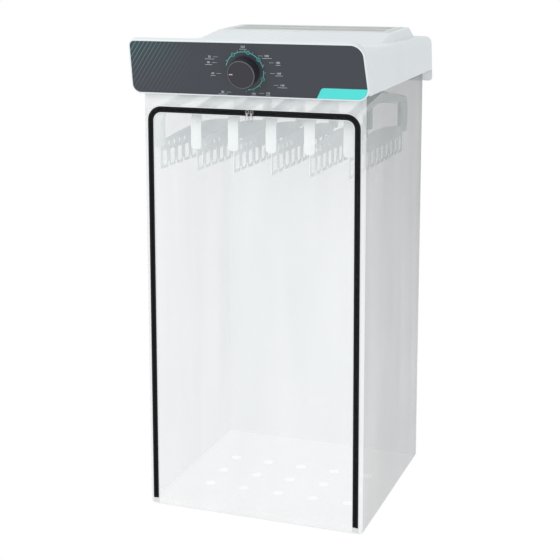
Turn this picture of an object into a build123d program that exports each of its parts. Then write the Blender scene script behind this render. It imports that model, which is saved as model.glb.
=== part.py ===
from build123d import *
import math
import os

# Wall-hung clothes dryer: a warm-air head with a zipped film bag and six comb hangers below it.
# Millimetres. +Z is up, -Y is the front, and the wall is the plane Y = 0.
# The origin is the centre of the wall bracket's hole pattern.

# Head cover
head_half_width_top = 290.5
head_half_width_bottom = 295.5
head_top_z = 57.0
head_front_top_z = 69.0
head_crest_y = -502.0
skirt_front_z = -46.0
skirt_rear_z = -32.6
cover_wall = 3.0
cover_edge_radius = 20.0
roof_blend_radius = 200.0
wall_gap = 7.0
seat_gap = 0.3

# Air dome on the cover
dome_side_inset = 33.5
dome_foot_front_y = -375.0
dome_foot_rear_y = -50.0
dome_side_slope = 12.0
dome_top_front_y = -250.0
dome_top_rear_y = -63.0
dome_front_z = 76.0
dome_rear_z = 83.0
dome_corner_radius = 20.0
dome_edge_radius = 5.0

# Inlet grille in the dome
grille_margin = 22.0
grille_lip = 6.0
grille_thickness = 3.0
grille_lip_thickness = 1.4
inlet_slot_width = 14.0
inlet_slot_pitch = 22.0
inlet_row_gap = 10.0

# Leaning front fascia and control panel
panel_bottom_y = -645.8
panel_bottom_z = -54.3
panel_lean = 15.3
panel_height = 130.0
panel_inset_top = 1.7
panel_overhang_bottom = 1.9
panel_radius_top_left = 13.0
panel_radius_bottom_left = 19.0
panel_radius_top_right = 30.0
panel_radius_bottom_right = 26.0
panel_thickness = 1.6
panel_recess = 2.2
panel_fit = 0.25
fascia_rim = 3.6
fascia_depth = 16.0
fascia_floor = 3.0
fascia_wall = 12.0
fascia_chamfer = 1.2
accent_height = 26.0
accent_length = 125.4
accent_slant = 14.0
accent_radius = 10.0

# Timer, its shaft and the knob
knob_height_on_panel = 62.0
knob_radius = 35.5
knob_depth = 26.0
knob_rim = 2.6
knob_dish = 1.0
knob_stand_off = 1.0
knob_sides = 40
knob_key_width = 2.0
marker_inset = 3.0
marker_length = 9.0
marker_width = 2.4
marker_depth = 0.5
timer_shaft_radius = 3.0
timer_shaft_grip = 14.0
timer_flat_depth = 0.8
shaft_fit = 0.05
timer_size = 46.0
timer_depth = 27.0
timer_chamfer = 4.0
timer_rear_wall = 5.0
timer_bush_radius = 5.0
bush_fit = 0.4

# Rear plate and wall bracket
rear_plate_thickness = 4.0
rear_plate_drop_z = -64.0
rear_plate_radius = 10.0
bracket_thickness = 2.5
bracket_width = 470.0
bracket_height = 48.0
bracket_lip = 14.0
bracket_gap = 0.3
bracket_hole_radius = 3.5
bracket_hole_spacing_x = 400.0
bracket_hole_spacing_z = 24.0
hook_width = 440.0
hook_thickness = 2.5
spacer_height = 8.0
spacer_width = 460.0
spacer_lift = 4.0

# Base tray
tray_top_z = -15.5
tray_thickness = 2.5
rim_drop = 14.0
rim_thickness = 2.5
boss_radius = 6.0
boss_inset_x = 28.0
boss_front_inset = 49.8
boss_rear_inset = 19.0

# Fan
fan_y = -172.0
shroud_radius = 92.0
shroud_wall = 2.5
duct_sides = 32
shroud_top_z = 36.0
bracket_arm_width = 12.0
bracket_arm_thickness = 2.5
bracket_fit = 0.3
motor_size = 58.0
motor_height = 30.0
motor_cup = 5.0
motor_chamfer = 6.0
motor_cap = 8.0
motor_coil = 36.0
motor_coil_reach = 12.0
motor_neck = 18.0
fan_shaft_radius = 3.0
impeller_hub_radius = 21.0
impeller_tip_radius = 84.0
impeller_bottom_z = 8.0
impeller_height = 24.0
impeller_cap = 3.0
impeller_nose = 6.0
blade_count = 7
hub_sides = 21
blade_thickness = 2.0
blade_chord = 36.0
blade_camber = 3.0
blade_pitch = 32.0
blade_root_sink = 8.0

# Heater and outlet
outlet_radius = 84.0
outlet_grille_radius = 96.0
outlet_grille_thickness = 2.5
outlet_bar_width = 3.0
outlet_bar_pitch = 12.0
heater_bar_offset = 38.0
heater_bar_half_length = 82.0
heater_bar_thickness = 2.0
heater_bar_height = 18.0
element_height = 7.0
element_thickness = 2.4
element_run = 118.0
element_pitch = 40.0
element_runs = 3
element_bend_cut = 16.0
element_fit = 0.1
element_lift = 10.0

# Electrical parts on the tray
thermostat_radius = 8.0
thermostat_sides = 12
thermostat_height = 9.0
thermostat_tab_spacing = 8.0
thermostat_tab_width = 4.8
thermostat_tab_thickness = 0.8
thermostat_tab_height = 7.0
thermostat_x = 112.0
fuse_height = 8.0
fuse_length = 22.0
fuse_x = -112.0
terminal_from_gland_x = 23.0
terminal_from_gland_y = 59.0
terminal_length = 62.0
terminal_width = 20.0
terminal_height = 18.0
terminal_poles = 5
terminal_well = 6.0
terminal_well_depth = 8.0
gland_side_inset = 62.5
gland_rear_inset = 25.0
gland_bore_radius = 4.0
gland_body_radius = 8.0
gland_sides = 16
gland_flange_radius = 12.0
gland_flange_height = 6.0
gland_height = 26.0
gland_fit = 0.2

# Film bag
bag_side_inset = 12.0
bag_flare = 5.9
bag_front_inset = 25.3
bag_rear_y = -60.7
bag_top_gap = 0.3
bag_bottom_z = -1138.5
film = 1.0
film_fit = 0.05
hem_height = 10.0
hem_thickness = 2.2
hem_gap = 0.3
vent_radius = 14.0
vent_sides = 6
vent_columns = 5
vent_rows = 3
vent_pitch = 96.0

# Zip and flap
zip_side_inset_top = 19.0
zip_side_inset_bottom = 18.2
zip_top_drop = 79.0
zip_bottom_rise = 20.5
zip_corner_radius = 28.0
tape_width = 6.4
tape_thickness = 1.6
tape_film_overlap = 3.0
zip_gap = 0.6
flap_gap = 0.3
patch_width = 16.0
patch_height = 12.0
patch_thickness = 0.8

# Zip sliders and pulls
slider_centre_x = -4.0
slider_pitch = 11.0
slider_width = 8.4
slider_height = 12.0
slider_plate = 1.2
slider_corner = 1.8
slider_gap = 0.3
slider_stem = 0.6
slider_stem_length = 3.0
bail_half = 0.6
bail_span = 5.0
bail_reach = 2.8
bail_foot = 1.0
pull_fit = 0.3
pull_eye_wall = 0.8
pull_eye_width = 3.6
pull_length = 18.0
pull_neck_length = 4.0
pull_shoulder_length = 8.0
pull_taper = 0.8
pull_width = 6.0
pull_thickness = 1.2

# Hanger rail
rail_y = -326.0
rail_width = 26.0
rail_height = 16.0
rail_wall = 2.5
rail_end_gap = 0.4
rail_slot = 8.2

# Hangers
hanger_count = 6
hanger_left_inset = 16.05
hanger_right_inset = 46.05
hanger_length = 508.0
hanger_flange_width = 27.4
hanger_flange = 4.0
hanger_web = 3.0
hanger_web_depth = 13.0
hanger_apex_z = -64.0
hanger_shoulder_z = -103.0
hanger_post_bottom_z = -198.0
hanger_shoulder_radius = 42.0
hanger_bend_steps = 4
hanger_runner_length = 20.0
runner_sink = 2.0
runner_neck = 7.0
runner_head = 17.0
runner_head_height = 5.0
runner_gap = 0.3

# Combs between the hanger posts
comb_thickness = 3.0
comb_top_end_z = -182.0
comb_top_middle_z = -164.0
comb_arch_steps = 6
comb_bottom_z = -253.0
comb_slot_count = 11
comb_slot_width = 18.0
comb_slot_top_z = -206.0
comb_slot_bottom_z = -247.0
comb_notch_width = 13.0
comb_notch_height = 13.0
comb_hole_count = 4
comb_hole_width = 9.0
comb_hole_height = 16.0
comb_hole_pitch = 32.0
comb_hole_z = -189.0
comb_hole_first = 34.0

# Derived places
lean = math.radians(panel_lean)
panel_plane = Plane(
    origin=(0, panel_bottom_y, panel_bottom_z),
    x_dir=(1, 0, 0),
    z_dir=(0, -math.cos(lean), -math.sin(lean)),
)
dome_foot_width = 2 * (head_half_width_top - dome_side_inset)
dome_top_width = dome_foot_width - 2 * dome_side_slope
panel_width_top = 2 * (head_half_width_top - panel_inset_top)
panel_width_bottom = 2 * (head_half_width_bottom + panel_overhang_bottom)
accent_left = panel_width_bottom / 2 - accent_length
cover_rear_y = -wall_gap - rear_plate_thickness
boss_front_y = panel_bottom_y + boss_front_inset
boss_rear_y = cover_rear_y - boss_rear_inset
gland_x = gland_side_inset - head_half_width_top
gland_y = cover_rear_y - gland_rear_inset
terminal_x = gland_x + terminal_from_gland_x
terminal_y = gland_y - terminal_from_gland_y
tray_bottom_z = tray_top_z - tray_thickness
bag_top_z = tray_bottom_z - bag_top_gap
bag_half_width_top = head_half_width_bottom - bag_side_inset
bag_half_width_bottom = bag_half_width_top + bag_flare
bag_front_y = panel_bottom_y + bag_front_inset
zip_half_width_top = bag_half_width_top - zip_side_inset_top
zip_half_width_bottom = bag_half_width_bottom - zip_side_inset_bottom
zip_top_z = bag_top_z - zip_top_drop
zip_bottom_z = bag_bottom_z + zip_bottom_rise
hanger_front_y = rail_y - hanger_length / 2
hanger_rear_y = rail_y + hanger_length / 2
dome_slope = math.atan2(dome_rear_z - dome_front_z, dome_top_rear_y - dome_top_front_y)
tape_front_y = bag_front_y - tape_thickness


def save(part, name):
    """Write one sub-part, named for its node."""
    part.label = name
    export_step(part, f"parts/{name}.step")


def box(low, high):
    """A box between two corners."""
    size = [b - a for a, b in zip(low, high)]
    centre = [(a + b) / 2 for a, b in zip(low, high)]
    return Pos(*centre) * Box(*size)


def upright(radius, low_z, high_z, x=0.0, y=0.0):
    """A cylinder that stands along Z."""
    return Pos(x, y, (low_z + high_z) / 2) * Cylinder(radius, high_z - low_z)


def flat_sided(radius, low_z, high_z, x=0.0, y=0.0, sides=6):
    """A many-sided post that stands along Z."""
    return extrude(Pos(x, y, low_z) * RegularPolygon(radius, sides), high_z - low_z)


def group(pieces):
    """Separate solids that share one node."""
    return Compound(children=list(pieces))


def across(face, x, width):
    """A (Y, Z) face thickened along X about a place."""
    return extrude(Plane.YZ.offset(x - width / 2) * face, width, dir=(1, 0, 0))


def side_profile(points, half_width):
    """A prism along X from (Y, Z) points."""
    return across(Polygon(*points, align=None), 0, 2 * half_width)


def front_profile(face, front_y, rear_y):
    """A prism along Y from a face drawn in (X, Z)."""
    plane = Plane(origin=(0, rear_y, 0), x_dir=(1, 0, 0), z_dir=(0, -1, 0))
    return extrude(plane * face, rear_y - front_y, dir=(0, -1, 0))


def head_half_width(z):
    """Half width of the drafted cover at a height."""
    share = (head_top_z - z) / (head_top_z - skirt_front_z)
    return head_half_width_top + share * (head_half_width_bottom - head_half_width_top)


def behind_panel(z, depth):
    """Y of the plane that lies this far behind the panel face, at a height."""
    along = (z - panel_bottom_z - depth * math.sin(lean)) / math.cos(lean)
    return panel_bottom_y - along * math.sin(lean) + depth * math.cos(lean)


# Head cover


def cover_block(inset):
    """The cover's outer body for inset 0, or the space in it for inset = its wall."""
    reach = 2 * cover_edge_radius if inset else 0.0
    top_z = head_top_z - inset
    front_top_z = head_front_top_z - inset
    low_z = skirt_front_z - reach
    side = Polygon(
        (behind_panel(low_z, fascia_depth - reach), low_z),
        (behind_panel(front_top_z, fascia_depth - reach), front_top_z),
        (head_crest_y, top_z),
        (cover_rear_y + reach, top_z),
        (cover_rear_y + reach, skirt_rear_z - reach),
        align=None,
    )
    crest = side.vertices().sort_by_distance((head_crest_y, top_z))[0]
    profile = across(fillet(crest, roof_blend_radius), 0, 3 * head_half_width_bottom)
    wide = head_half_width(low_z) - inset
    narrow = head_half_width(front_top_z) - inset
    draft_face = Polygon(
        (-wide, low_z), (wide, low_z), (narrow, front_top_z), (-narrow, front_top_z), align=None
    )
    block = profile & front_profile(draft_face, 2 * panel_bottom_y, 2 * cover_edge_radius)
    upper = [
        edge
        for edge in block.edges()
        if abs(edge.center().X) > head_half_width(edge.center().Z) - inset - 1
        and edge.center().Z > top_z - 1
        and abs((edge @ 1).Y - (edge @ 0).Y) > cover_wall
    ]
    return fillet(upper, cover_edge_radius - inset)


def roof_z(y):
    """Height of the roof's outside: flat behind the crest, rising to the fascia before it."""
    front_y = behind_panel(head_front_top_z, fascia_depth)
    share = max(0.0, (head_crest_y - y) / (head_crest_y - front_y))
    return head_top_z + share * (head_front_top_z - head_top_z)


def dome_block(inset):
    """The raised air dome, or the space in it."""
    low_z = head_top_z - 1 - 2 * inset
    side = Polygon(
        (dome_foot_front_y + inset, low_z),
        (dome_top_front_y + inset, dome_front_z - inset),
        (dome_top_rear_y - inset, dome_rear_z - inset),
        (dome_foot_rear_y - inset, low_z),
        align=None,
    )
    wide = dome_foot_width / 2 - inset
    narrow = dome_top_width / 2 - inset
    front = Polygon(
        (-wide, low_z), (wide, low_z), (narrow, dome_rear_z), (-narrow, dome_rear_z), align=None
    )
    dome = across(side, 0, dome_foot_width) & front_profile(front, dome_foot_front_y, 0)
    corners = [
        edge
        for edge in dome.edges()
        if abs(edge.center().X) > narrow and abs((edge @ 1).Z - (edge @ 0).Z) > dome_edge_radius * 2
    ]
    dome = fillet(corners, dome_corner_radius - inset)
    if inset:
        return dome
    upper_face = dome.faces().sort_by(Axis(dome_plane(0).origin, dome_plane(0).z_dir))[-1]
    return fillet(upper_face.edges(), dome_edge_radius)


def dome_plane(depth):
    """The dome's top plane, moved inwards."""
    return Plane(
        origin=(
            0,
            (dome_top_front_y + dome_top_rear_y) / 2 + depth * math.sin(dome_slope),
            (dome_front_z + dome_rear_z) / 2 - depth * math.cos(dome_slope),
        ),
        x_dir=(1, 0, 0),
        z_dir=(0, -math.sin(dome_slope), math.cos(dome_slope)),
    )


grille_length = dome_top_width - 2 * grille_margin
grille_width = dome_top_rear_y - dome_top_front_y - 2 * grille_margin


def boss_places():
    """Where the posts stand that carry the tray."""
    for side in (-1, 1):
        for y in (boss_front_y, boss_rear_y):
            yield side * (head_half_width_top - boss_inset_x), y


def top_cover():
    """Shell with the dome, the grille opening and posts for the tray."""
    shell = cover_block(0) + dome_block(0)
    shell -= cover_block(cover_wall) + dome_block(cover_wall)
    rise = dome_rear_z - head_top_z
    opening = dome_plane(rise) * Rectangle(grille_length, grille_width)
    shell -= extrude(opening, 2 * rise)
    for x, y in boss_places():
        shell += flat_sided(boss_radius, tray_top_z, roof_z(y) - cover_wall / 2, x, y)
    return shell


def inlet_grille():
    """Slotted plate that drops into the dome, hung by its lip."""
    fit = seat_gap
    plate = dome_plane(0) * Rectangle(grille_length + 2 * grille_lip, grille_width + 2 * grille_lip)
    plate = extrude(plate, grille_lip_thickness)
    body = dome_plane(grille_thickness) * Rectangle(grille_length - 2 * fit, grille_width - 2 * fit)
    plate += extrude(body, grille_thickness)
    columns = int((grille_length - inlet_slot_pitch) // inlet_slot_pitch)
    row_length = (grille_width - 3 * inlet_row_gap) / 2
    slots = Sketch() + [
        Pos((column - (columns - 1) / 2) * inlet_slot_pitch, side * (row_length + inlet_row_gap) / 2)
        * Rectangle(inlet_slot_width, row_length)
        for column in range(columns)
        for side in (-1, 1)
    ]
    return plate - extrude(dome_plane(2 * grille_thickness) * slots, 4 * grille_thickness)


# Front fascia and panel


def panel_face(grow):
    """The panel's outline, drawn up from its lower edge and grown by a margin."""
    low = panel_width_bottom / 2
    high = panel_width_top / 2
    face = Polygon((-low, 0), (low, 0), (high, panel_height), (-high, panel_height), align=None)
    radii = [
        (-1, -1, panel_radius_bottom_left),
        (1, -1, panel_radius_bottom_right),
        (1, 1, panel_radius_top_right),
        (-1, 1, panel_radius_top_left),
    ]
    for side, level, radius in radii:
        corner = [
            v
            for v in face.vertices()
            if v.X * side > low / 2
            and (v.Y - panel_height / 2) * level > panel_height / 2 - 0.01
            and abs(v.X) > min(low, high) - 0.01
        ]
        face = fillet(corner, radius)
    return offset(face, amount=grow) if grow else face


def panel_slab(face, front, back):
    """A slab on the panel's plane; depths are measured inwards from the panel face."""
    return extrude(panel_plane.offset(-back) * face, back - front, dir=panel_plane.z_dir)


def knob_spot(face):
    """A face moved to the knob's centre on the panel."""
    return Pos(0, knob_height_on_panel) * face


def front_fascia():
    """Moulding with a shallow recess for the panel and a hollow back."""
    fascia = panel_slab(panel_face(fascia_rim), 0, fascia_depth)
    front_edges = fascia.faces().sort_by(Axis((0, 0, 0), panel_plane.z_dir))[-1].edges()
    fascia = chamfer(front_edges, fascia_chamfer)
    fascia -= panel_slab(panel_face(0), -1, panel_recess)
    inset = fascia_wall - fascia_rim
    low = panel_width_bottom / 2 - inset
    high = panel_width_top / 2 - inset
    hollow = Polygon(
        (-low, inset), (low, inset), (high, panel_height - inset), (-high, panel_height - inset), align=None
    )
    fascia -= panel_slab(hollow, panel_recess + fascia_floor, fascia_depth + 1)
    bush_hole = knob_spot(Circle(timer_bush_radius + bush_fit))
    return fascia - panel_slab(bush_hole, 0, fascia_depth)


def accent_face(grow):
    """The accent strip's outline in the panel's lower right corner."""
    beyond = panel_width_bottom
    strip = Polygon(
        (accent_left, -beyond),
        (accent_left, 0),
        (accent_left + accent_slant, accent_height),
        (beyond, accent_height),
        (beyond, -beyond),
        align=None,
    )
    corner = [v for v in strip.vertices() if abs(v.X - accent_left - accent_slant) < 0.01]
    strip = fillet(corner, accent_radius)
    if grow:
        strip = offset(strip, amount=grow)
    return strip


def control_panel():
    """Thin overlay plate with room for the knob's bush and the accent strip."""
    face = panel_face(-panel_fit) - accent_face(panel_fit)
    face -= knob_spot(Circle(timer_bush_radius + bush_fit))
    return panel_slab(face, panel_recess - panel_thickness, panel_recess)


def accent_strip():
    """Coloured inlay beside the panel plate."""
    face = panel_face(-panel_fit) & accent_face(0)
    return panel_slab(face, panel_recess - panel_thickness, panel_recess)


# Timer and knob


def timer_switch():
    """Clockwork timer on the fascia's floor, with the bush that carries the shaft."""
    floor = panel_recess + fascia_floor
    case = panel_slab(
        knob_spot(Rectangle(timer_size, timer_size)), floor, floor + timer_depth
    )
    case = chamfer(case.edges().filter_by(Axis((0, 0, 0), panel_plane.z_dir)), timer_chamfer)
    bush = panel_slab(knob_spot(Circle(timer_bush_radius)), panel_recess - panel_thickness, floor)
    bore = panel_slab(knob_spot(Circle(timer_shaft_radius + shaft_fit)), 0, floor + timer_depth - timer_rear_wall)
    return case + bush - bore


def timer_shaft():
    """Shaft from the timer into the knob's hub, flattened at its outer end."""
    inner = panel_recess + fascia_floor + timer_depth - timer_rear_wall - seat_gap
    shaft = panel_slab(knob_spot(Circle(timer_shaft_radius)), -knob_stand_off - timer_shaft_grip, inner)
    flat = Pos(0, timer_shaft_radius) * Rectangle(3 * timer_shaft_radius, 2 * timer_flat_depth)
    flat = knob_spot(flat)
    return shaft - panel_slab(flat, -knob_stand_off - timer_shaft_grip - 1, -knob_stand_off)


def timer_knob():
    """Knob with fine flats round its edge, a sunk face in a raised rim and a keyed bore."""
    low = -knob_stand_off
    high = low - knob_depth
    grip = low - timer_shaft_grip - shaft_fit
    knob = panel_slab(knob_spot(RegularPolygon(knob_radius, knob_sides)), high, low)
    dish = knob_spot(RegularPolygon(knob_radius - knob_rim, knob_sides))
    knob -= panel_slab(dish, high - 1, high + knob_dish)
    knob -= panel_slab(knob_spot(Circle(timer_shaft_radius + shaft_fit)), grip, low + 1)
    key_low = timer_shaft_radius - timer_flat_depth + shaft_fit
    key = Pos(0, key_low + knob_key_width / 2) * Rectangle(2 * timer_shaft_radius, knob_key_width)
    knob += panel_slab(knob_spot(key), grip, low)
    return knob - marker_slab(shaft_fit)


def marker_slab(grow):
    """The pointer's outline on the knob's face, at nine o'clock."""
    reach = knob_radius - knob_rim - marker_inset
    face = Pos(-reach + marker_length / 2, 0) * Rectangle(
        marker_length + 2 * grow, marker_width + 2 * grow
    )
    top = knob_stand_off + knob_depth - knob_dish
    return panel_slab(knob_spot(face), -top - grow, -top + marker_depth)


def knob_marker():
    """Pale pointer let into the knob's face."""
    return marker_slab(0)


# Rear plate and wall bracket


def rear_plate():
    """Back of the head with a hook for the bracket and a foot against the wall."""
    low = head_half_width(rear_plate_drop_z)
    high = head_half_width_top
    face = Polygon(
        (-low, rear_plate_drop_z), (low, rear_plate_drop_z), (high, head_top_z), (-high, head_top_z),
        align=None,
    )
    face = fillet(face.vertices().filter_by(lambda v: v.Y < 0), rear_plate_radius)
    face = fillet(face.vertices().filter_by(lambda v: v.Y > head_top_z - 0.01), cover_edge_radius)
    plate = front_profile(face, cover_rear_y, -wall_gap)
    lip_top = bracket_height / 2 + bracket_lip
    web_low = lip_top + bracket_gap
    hook_rear = -bracket_gap * 2
    half = hook_width / 2
    web = box((-half, -wall_gap, web_low), (half, hook_rear, web_low + hook_thickness))
    drop = box(
        (-half, hook_rear - hook_thickness, lip_top - bracket_lip + bracket_thickness + bracket_gap),
        (half, hook_rear, web_low),
    )
    foot = box(
        (-spacer_width / 2, -wall_gap, rear_plate_drop_z + spacer_lift),
        (spacer_width / 2, 0, rear_plate_drop_z + spacer_lift + spacer_height),
    )
    return plate + web + drop + foot


def wall_bracket():
    """Folded steel strip: flat with four holes, then a lip that stands off the wall."""
    half = bracket_height / 2
    lip_rear = -bracket_gap * 3 - hook_thickness
    outline = [
        (0, -half),
        (0, half + bracket_thickness),
        (lip_rear, half + bracket_thickness),
        (lip_rear, half + bracket_lip),
        (lip_rear - bracket_thickness, half + bracket_lip),
        (lip_rear - bracket_thickness, half),
        (-bracket_thickness, half),
        (-bracket_thickness, -half),
    ]
    strip = side_profile(outline, bracket_width / 2)
    for x in (-bracket_hole_spacing_x / 2, bracket_hole_spacing_x / 2):
        for z in (-bracket_hole_spacing_z / 2, bracket_hole_spacing_z / 2):
            strip -= Pos(x, 0, z) * Rot(90, 0, 0) * Cylinder(bracket_hole_radius, 4 * bracket_thickness)
    return strip


# Base tray


def rectangle_ring(half_x, front_y, rear_y, low_z, high_z, thickness):
    """An upright wall round a rectangle; the sizes are its outside."""
    outer = box((-half_x, front_y, low_z), (half_x, rear_y, high_z))
    inner = box(
        (thickness - half_x, front_y + thickness, low_z - 1),
        (half_x - thickness, rear_y - thickness, high_z + 1),
    )
    return outer - inner


hem_outer = film + hem_gap
rim_outer = hem_outer + hem_thickness + hem_gap


def tray_rim(low_z, high_z):
    """The rim that the bag's hem hugs."""
    return rectangle_ring(
        bag_half_width_top - rim_outer,
        bag_front_y + rim_outer,
        bag_rear_y - rim_outer,
        low_z,
        high_z,
        rim_thickness,
    )


def base_tray():
    """Floor of the head: plate, bag rim and outlet."""
    half = head_half_width(tray_top_z) - cover_wall - seat_gap
    front_y = behind_panel(tray_bottom_z, fascia_depth) + seat_gap
    rear_y = cover_rear_y - seat_gap
    plate = box((-half, front_y, tray_bottom_z), (half, rear_y, tray_top_z))
    tray = plate + tray_rim(tray_bottom_z - rim_drop, tray_bottom_z)
    tray -= flat_sided(outlet_radius, tray_bottom_z - 1, tray_top_z + 1, 0, fan_y, duct_sides)
    hole = gland_body_radius + gland_fit
    tray -= flat_sided(hole, tray_bottom_z - 1, tray_top_z + 1, gland_x, gland_y, gland_sides)
    return tray


# Fan


def fan_shroud():
    """Round duct that stands on the tray round the outlet."""
    wall = flat_sided(shroud_radius + shroud_wall, tray_top_z, shroud_top_z, 0, fan_y, duct_sides)
    bore = flat_sided(shroud_radius, tray_top_z - 1, shroud_top_z + 1, 0, fan_y, duct_sides)
    return wall - bore


motor_base_z = shroud_top_z + bracket_arm_thickness


def motor_bracket():
    """Steel cross on top of the duct, with a square hole for the motor's bearing."""
    reach = shroud_radius + shroud_wall
    neck = motor_neck + 2 * bracket_fit
    face = Rectangle(2 * reach, bracket_arm_width) + Rectangle(bracket_arm_width, 2 * reach)
    face += Rectangle(motor_size, motor_size)
    face -= Rectangle(neck, neck)
    return extrude(Pos(0, fan_y, shroud_top_z) * face, bracket_arm_thickness)


def fan_motor():
    """Shaded-pole motor: square core, a coil on one side, a bearing end below and above."""
    top_z = motor_base_z + motor_height
    half = motor_size / 2
    core_low = motor_base_z + motor_cup
    core = box((-half, -half, core_low), (half, half, top_z - motor_cup))
    core = chamfer(core.edges().filter_by(Axis.Z), motor_chamfer)
    cup = half - motor_chamfer
    body = core + box((-cup, -cup, motor_base_z), (cup, cup, top_z))
    coil_half = motor_coil / 2
    body += box((half, -coil_half, core_low), (half + motor_coil_reach, coil_half, top_z - motor_cup))
    neck = motor_neck / 2
    body += box((-neck, -neck, shroud_top_z), (neck, neck, motor_base_z))
    bore = upright(fan_shaft_radius + shaft_fit, shroud_top_z - 1, top_z - motor_cap)
    return Pos(0, fan_y, 0) * (body - bore)


def fan_shaft():
    """Motor shaft that carries the impeller."""
    return upright(
        fan_shaft_radius,
        impeller_bottom_z + impeller_cap,
        motor_base_z + motor_height - motor_cap - seat_gap,
        0,
        fan_y,
    )


def blade():
    """Pressed blade: a cambered strip that runs out from the hub."""
    middle_z = impeller_bottom_z + impeller_height / 2
    half = blade_chord / 2
    strip = Polygon(
        (-half, -blade_camber),
        (0, 0),
        (half, -blade_camber),
        (half, blade_thickness - blade_camber),
        (0, blade_thickness),
        (-half, blade_thickness - blade_camber),
        align=None,
    )
    root_x = impeller_hub_radius - blade_root_sink
    plane = Plane(origin=(root_x, 0, middle_z), x_dir=(0, 1, 0), z_dir=(1, 0, 0))
    face = plane * Rot(0, 0, blade_pitch) * strip
    return extrude(face, impeller_tip_radius - root_x, dir=(1, 0, 0))


def fan_impeller():
    """Axial impeller: hub with a chamfered nose and a ring of cambered blades."""
    top_z = impeller_bottom_z + impeller_height
    rotor = flat_sided(impeller_hub_radius, impeller_bottom_z, top_z, sides=hub_sides)
    rotor = chamfer(rotor.faces().sort_by(Axis.Z)[0].edges(), impeller_nose)
    rotor -= upright(fan_shaft_radius, impeller_bottom_z + impeller_cap, top_z + 1)
    for turn in range(blade_count):
        rotor += Rot(0, 0, turn * 360 / blade_count) * blade()
    return Pos(0, fan_y, 0) * rotor


# Heater and outlet


def heater_run_ys():
    """Y of each straight run of the heating element."""
    for run in range(element_runs):
        yield fan_y + (run - (element_runs - 1) / 2) * element_pitch


element_z = tray_top_z + element_lift


def heater_frame():
    """Two steel bars that stand on the tray, notched for the element's runs."""
    half_y = element_thickness / 2 + element_fit
    floor_z = element_z - element_height / 2 - element_fit
    high = tray_top_z + heater_bar_height
    for side in (-1, 1):
        left = side * heater_bar_offset - heater_bar_thickness / 2
        right = side * heater_bar_offset + heater_bar_thickness / 2
        bar = box(
            (left, fan_y - heater_bar_half_length, tray_top_z),
            (right, fan_y + heater_bar_half_length, high),
        )
        for y in heater_run_ys():
            bar -= box((left - 1, y - half_y, floor_z), (right + 1, y + half_y, high + 1))
        yield bar


def heater_element():
    """Flat sheathed strip bent into runs side by side, with mitred bends."""
    cut = element_bend_cut
    end = element_run / 2
    ys = list(heater_run_ys())
    points = [(-end, ys[0], element_z)]
    for run, (y, next_y) in enumerate(zip(ys, ys[1:])):
        side = -1 if run % 2 else 1
        points += [
            (side * (end - cut), y, element_z),
            (side * end, y + cut, element_z),
            (side * end, next_y - cut, element_z),
            (side * (end - cut), next_y, element_z),
        ]
    points.append(((-1 if len(ys) % 2 == 0 else 1) * end, ys[-1], element_z))
    path = Polyline(*points)
    start = Plane(origin=path @ 0, x_dir=(0, 0, 1), z_dir=path % 0)
    strip = start * Rectangle(element_height, element_thickness)
    return sweep(strip, path=path, transition=Transition.RIGHT)


def outlet_grille():
    """Square guard under the tray with a row of straight bars."""
    side = 2 * outlet_grille_radius
    inner = 2 * outlet_radius
    face = Rectangle(side, side)
    gaps = int(inner // outlet_bar_pitch)
    for gap in range(gaps):
        x = (gap - (gaps - 1) / 2) * outlet_bar_pitch
        face -= Pos(x, 0) * Rectangle(outlet_bar_pitch - outlet_bar_width, inner)
    low = tray_bottom_z - outlet_grille_thickness
    return extrude(Pos(0, fan_y, low) * face, outlet_grille_thickness)


# Electrical parts


def thermostat():
    """Disc thermostat with its two tabs."""
    top = tray_top_z + thermostat_height
    body = flat_sided(thermostat_radius, tray_top_z, top, thermostat_x, fan_y, thermostat_sides)
    for side in (-1, 1):
        y = fan_y + side * thermostat_tab_spacing / 2
        wide = thermostat_tab_width / 2
        thin = thermostat_tab_thickness / 2
        body += box(
            (thermostat_x - wide, y - thin, top),
            (thermostat_x + wide, y + thin, top + thermostat_tab_height),
        )
    return body


def thermal_fuse():
    """Axial thermal fuse lying on the tray."""
    end = Plane(origin=(fuse_x, fan_y - fuse_length / 2, tray_top_z + fuse_height / 2), z_dir=(0, 1, 0))
    hexagon = RegularPolygon(fuse_height / 2, 6, major_radius=False, rotation=30)
    return extrude(end * hexagon, fuse_length)


def terminal_block():
    """Screw terminal strip with a row of wire wells."""
    low = tray_top_z
    block = box(
        (terminal_x - terminal_length / 2, terminal_y - terminal_width / 2, low),
        (terminal_x + terminal_length / 2, terminal_y + terminal_width / 2, low + terminal_height),
    )
    pitch = terminal_length / terminal_poles
    for pole in range(terminal_poles):
        x = terminal_x + (pole - (terminal_poles - 1) / 2) * pitch
        half = terminal_well / 2
        block -= box(
            (x - half, terminal_y - half, low + terminal_height - terminal_well_depth),
            (x + half, terminal_y + half, low + terminal_height + 1),
        )
    return block


def cord_gland():
    """Cable gland through the tray behind the bag, for the supply lead."""
    low = tray_bottom_z - gland_flange_height
    body = flat_sided(gland_body_radius, tray_bottom_z, low + gland_height, gland_x, gland_y, gland_sides)
    body += flat_sided(gland_flange_radius, low, tray_bottom_z, gland_x, gland_y)
    return body - upright(gland_bore_radius, low - 1, low + gland_height + 1, gland_x, gland_y)


# Film bag


def bag_half_width(z):
    """Half width of the slightly flared bag at a height."""
    share = (bag_top_z - z) / (bag_top_z - bag_bottom_z)
    return bag_half_width_top + share * (bag_half_width_bottom - bag_half_width_top)


def bag_front_face():
    """The bag's front outline."""
    high = bag_half_width(bag_top_z)
    low = bag_half_width(bag_bottom_z)
    return Polygon(
        (-low, bag_bottom_z), (low, bag_bottom_z), (high, bag_top_z), (-high, bag_top_z), align=None
    )


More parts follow.
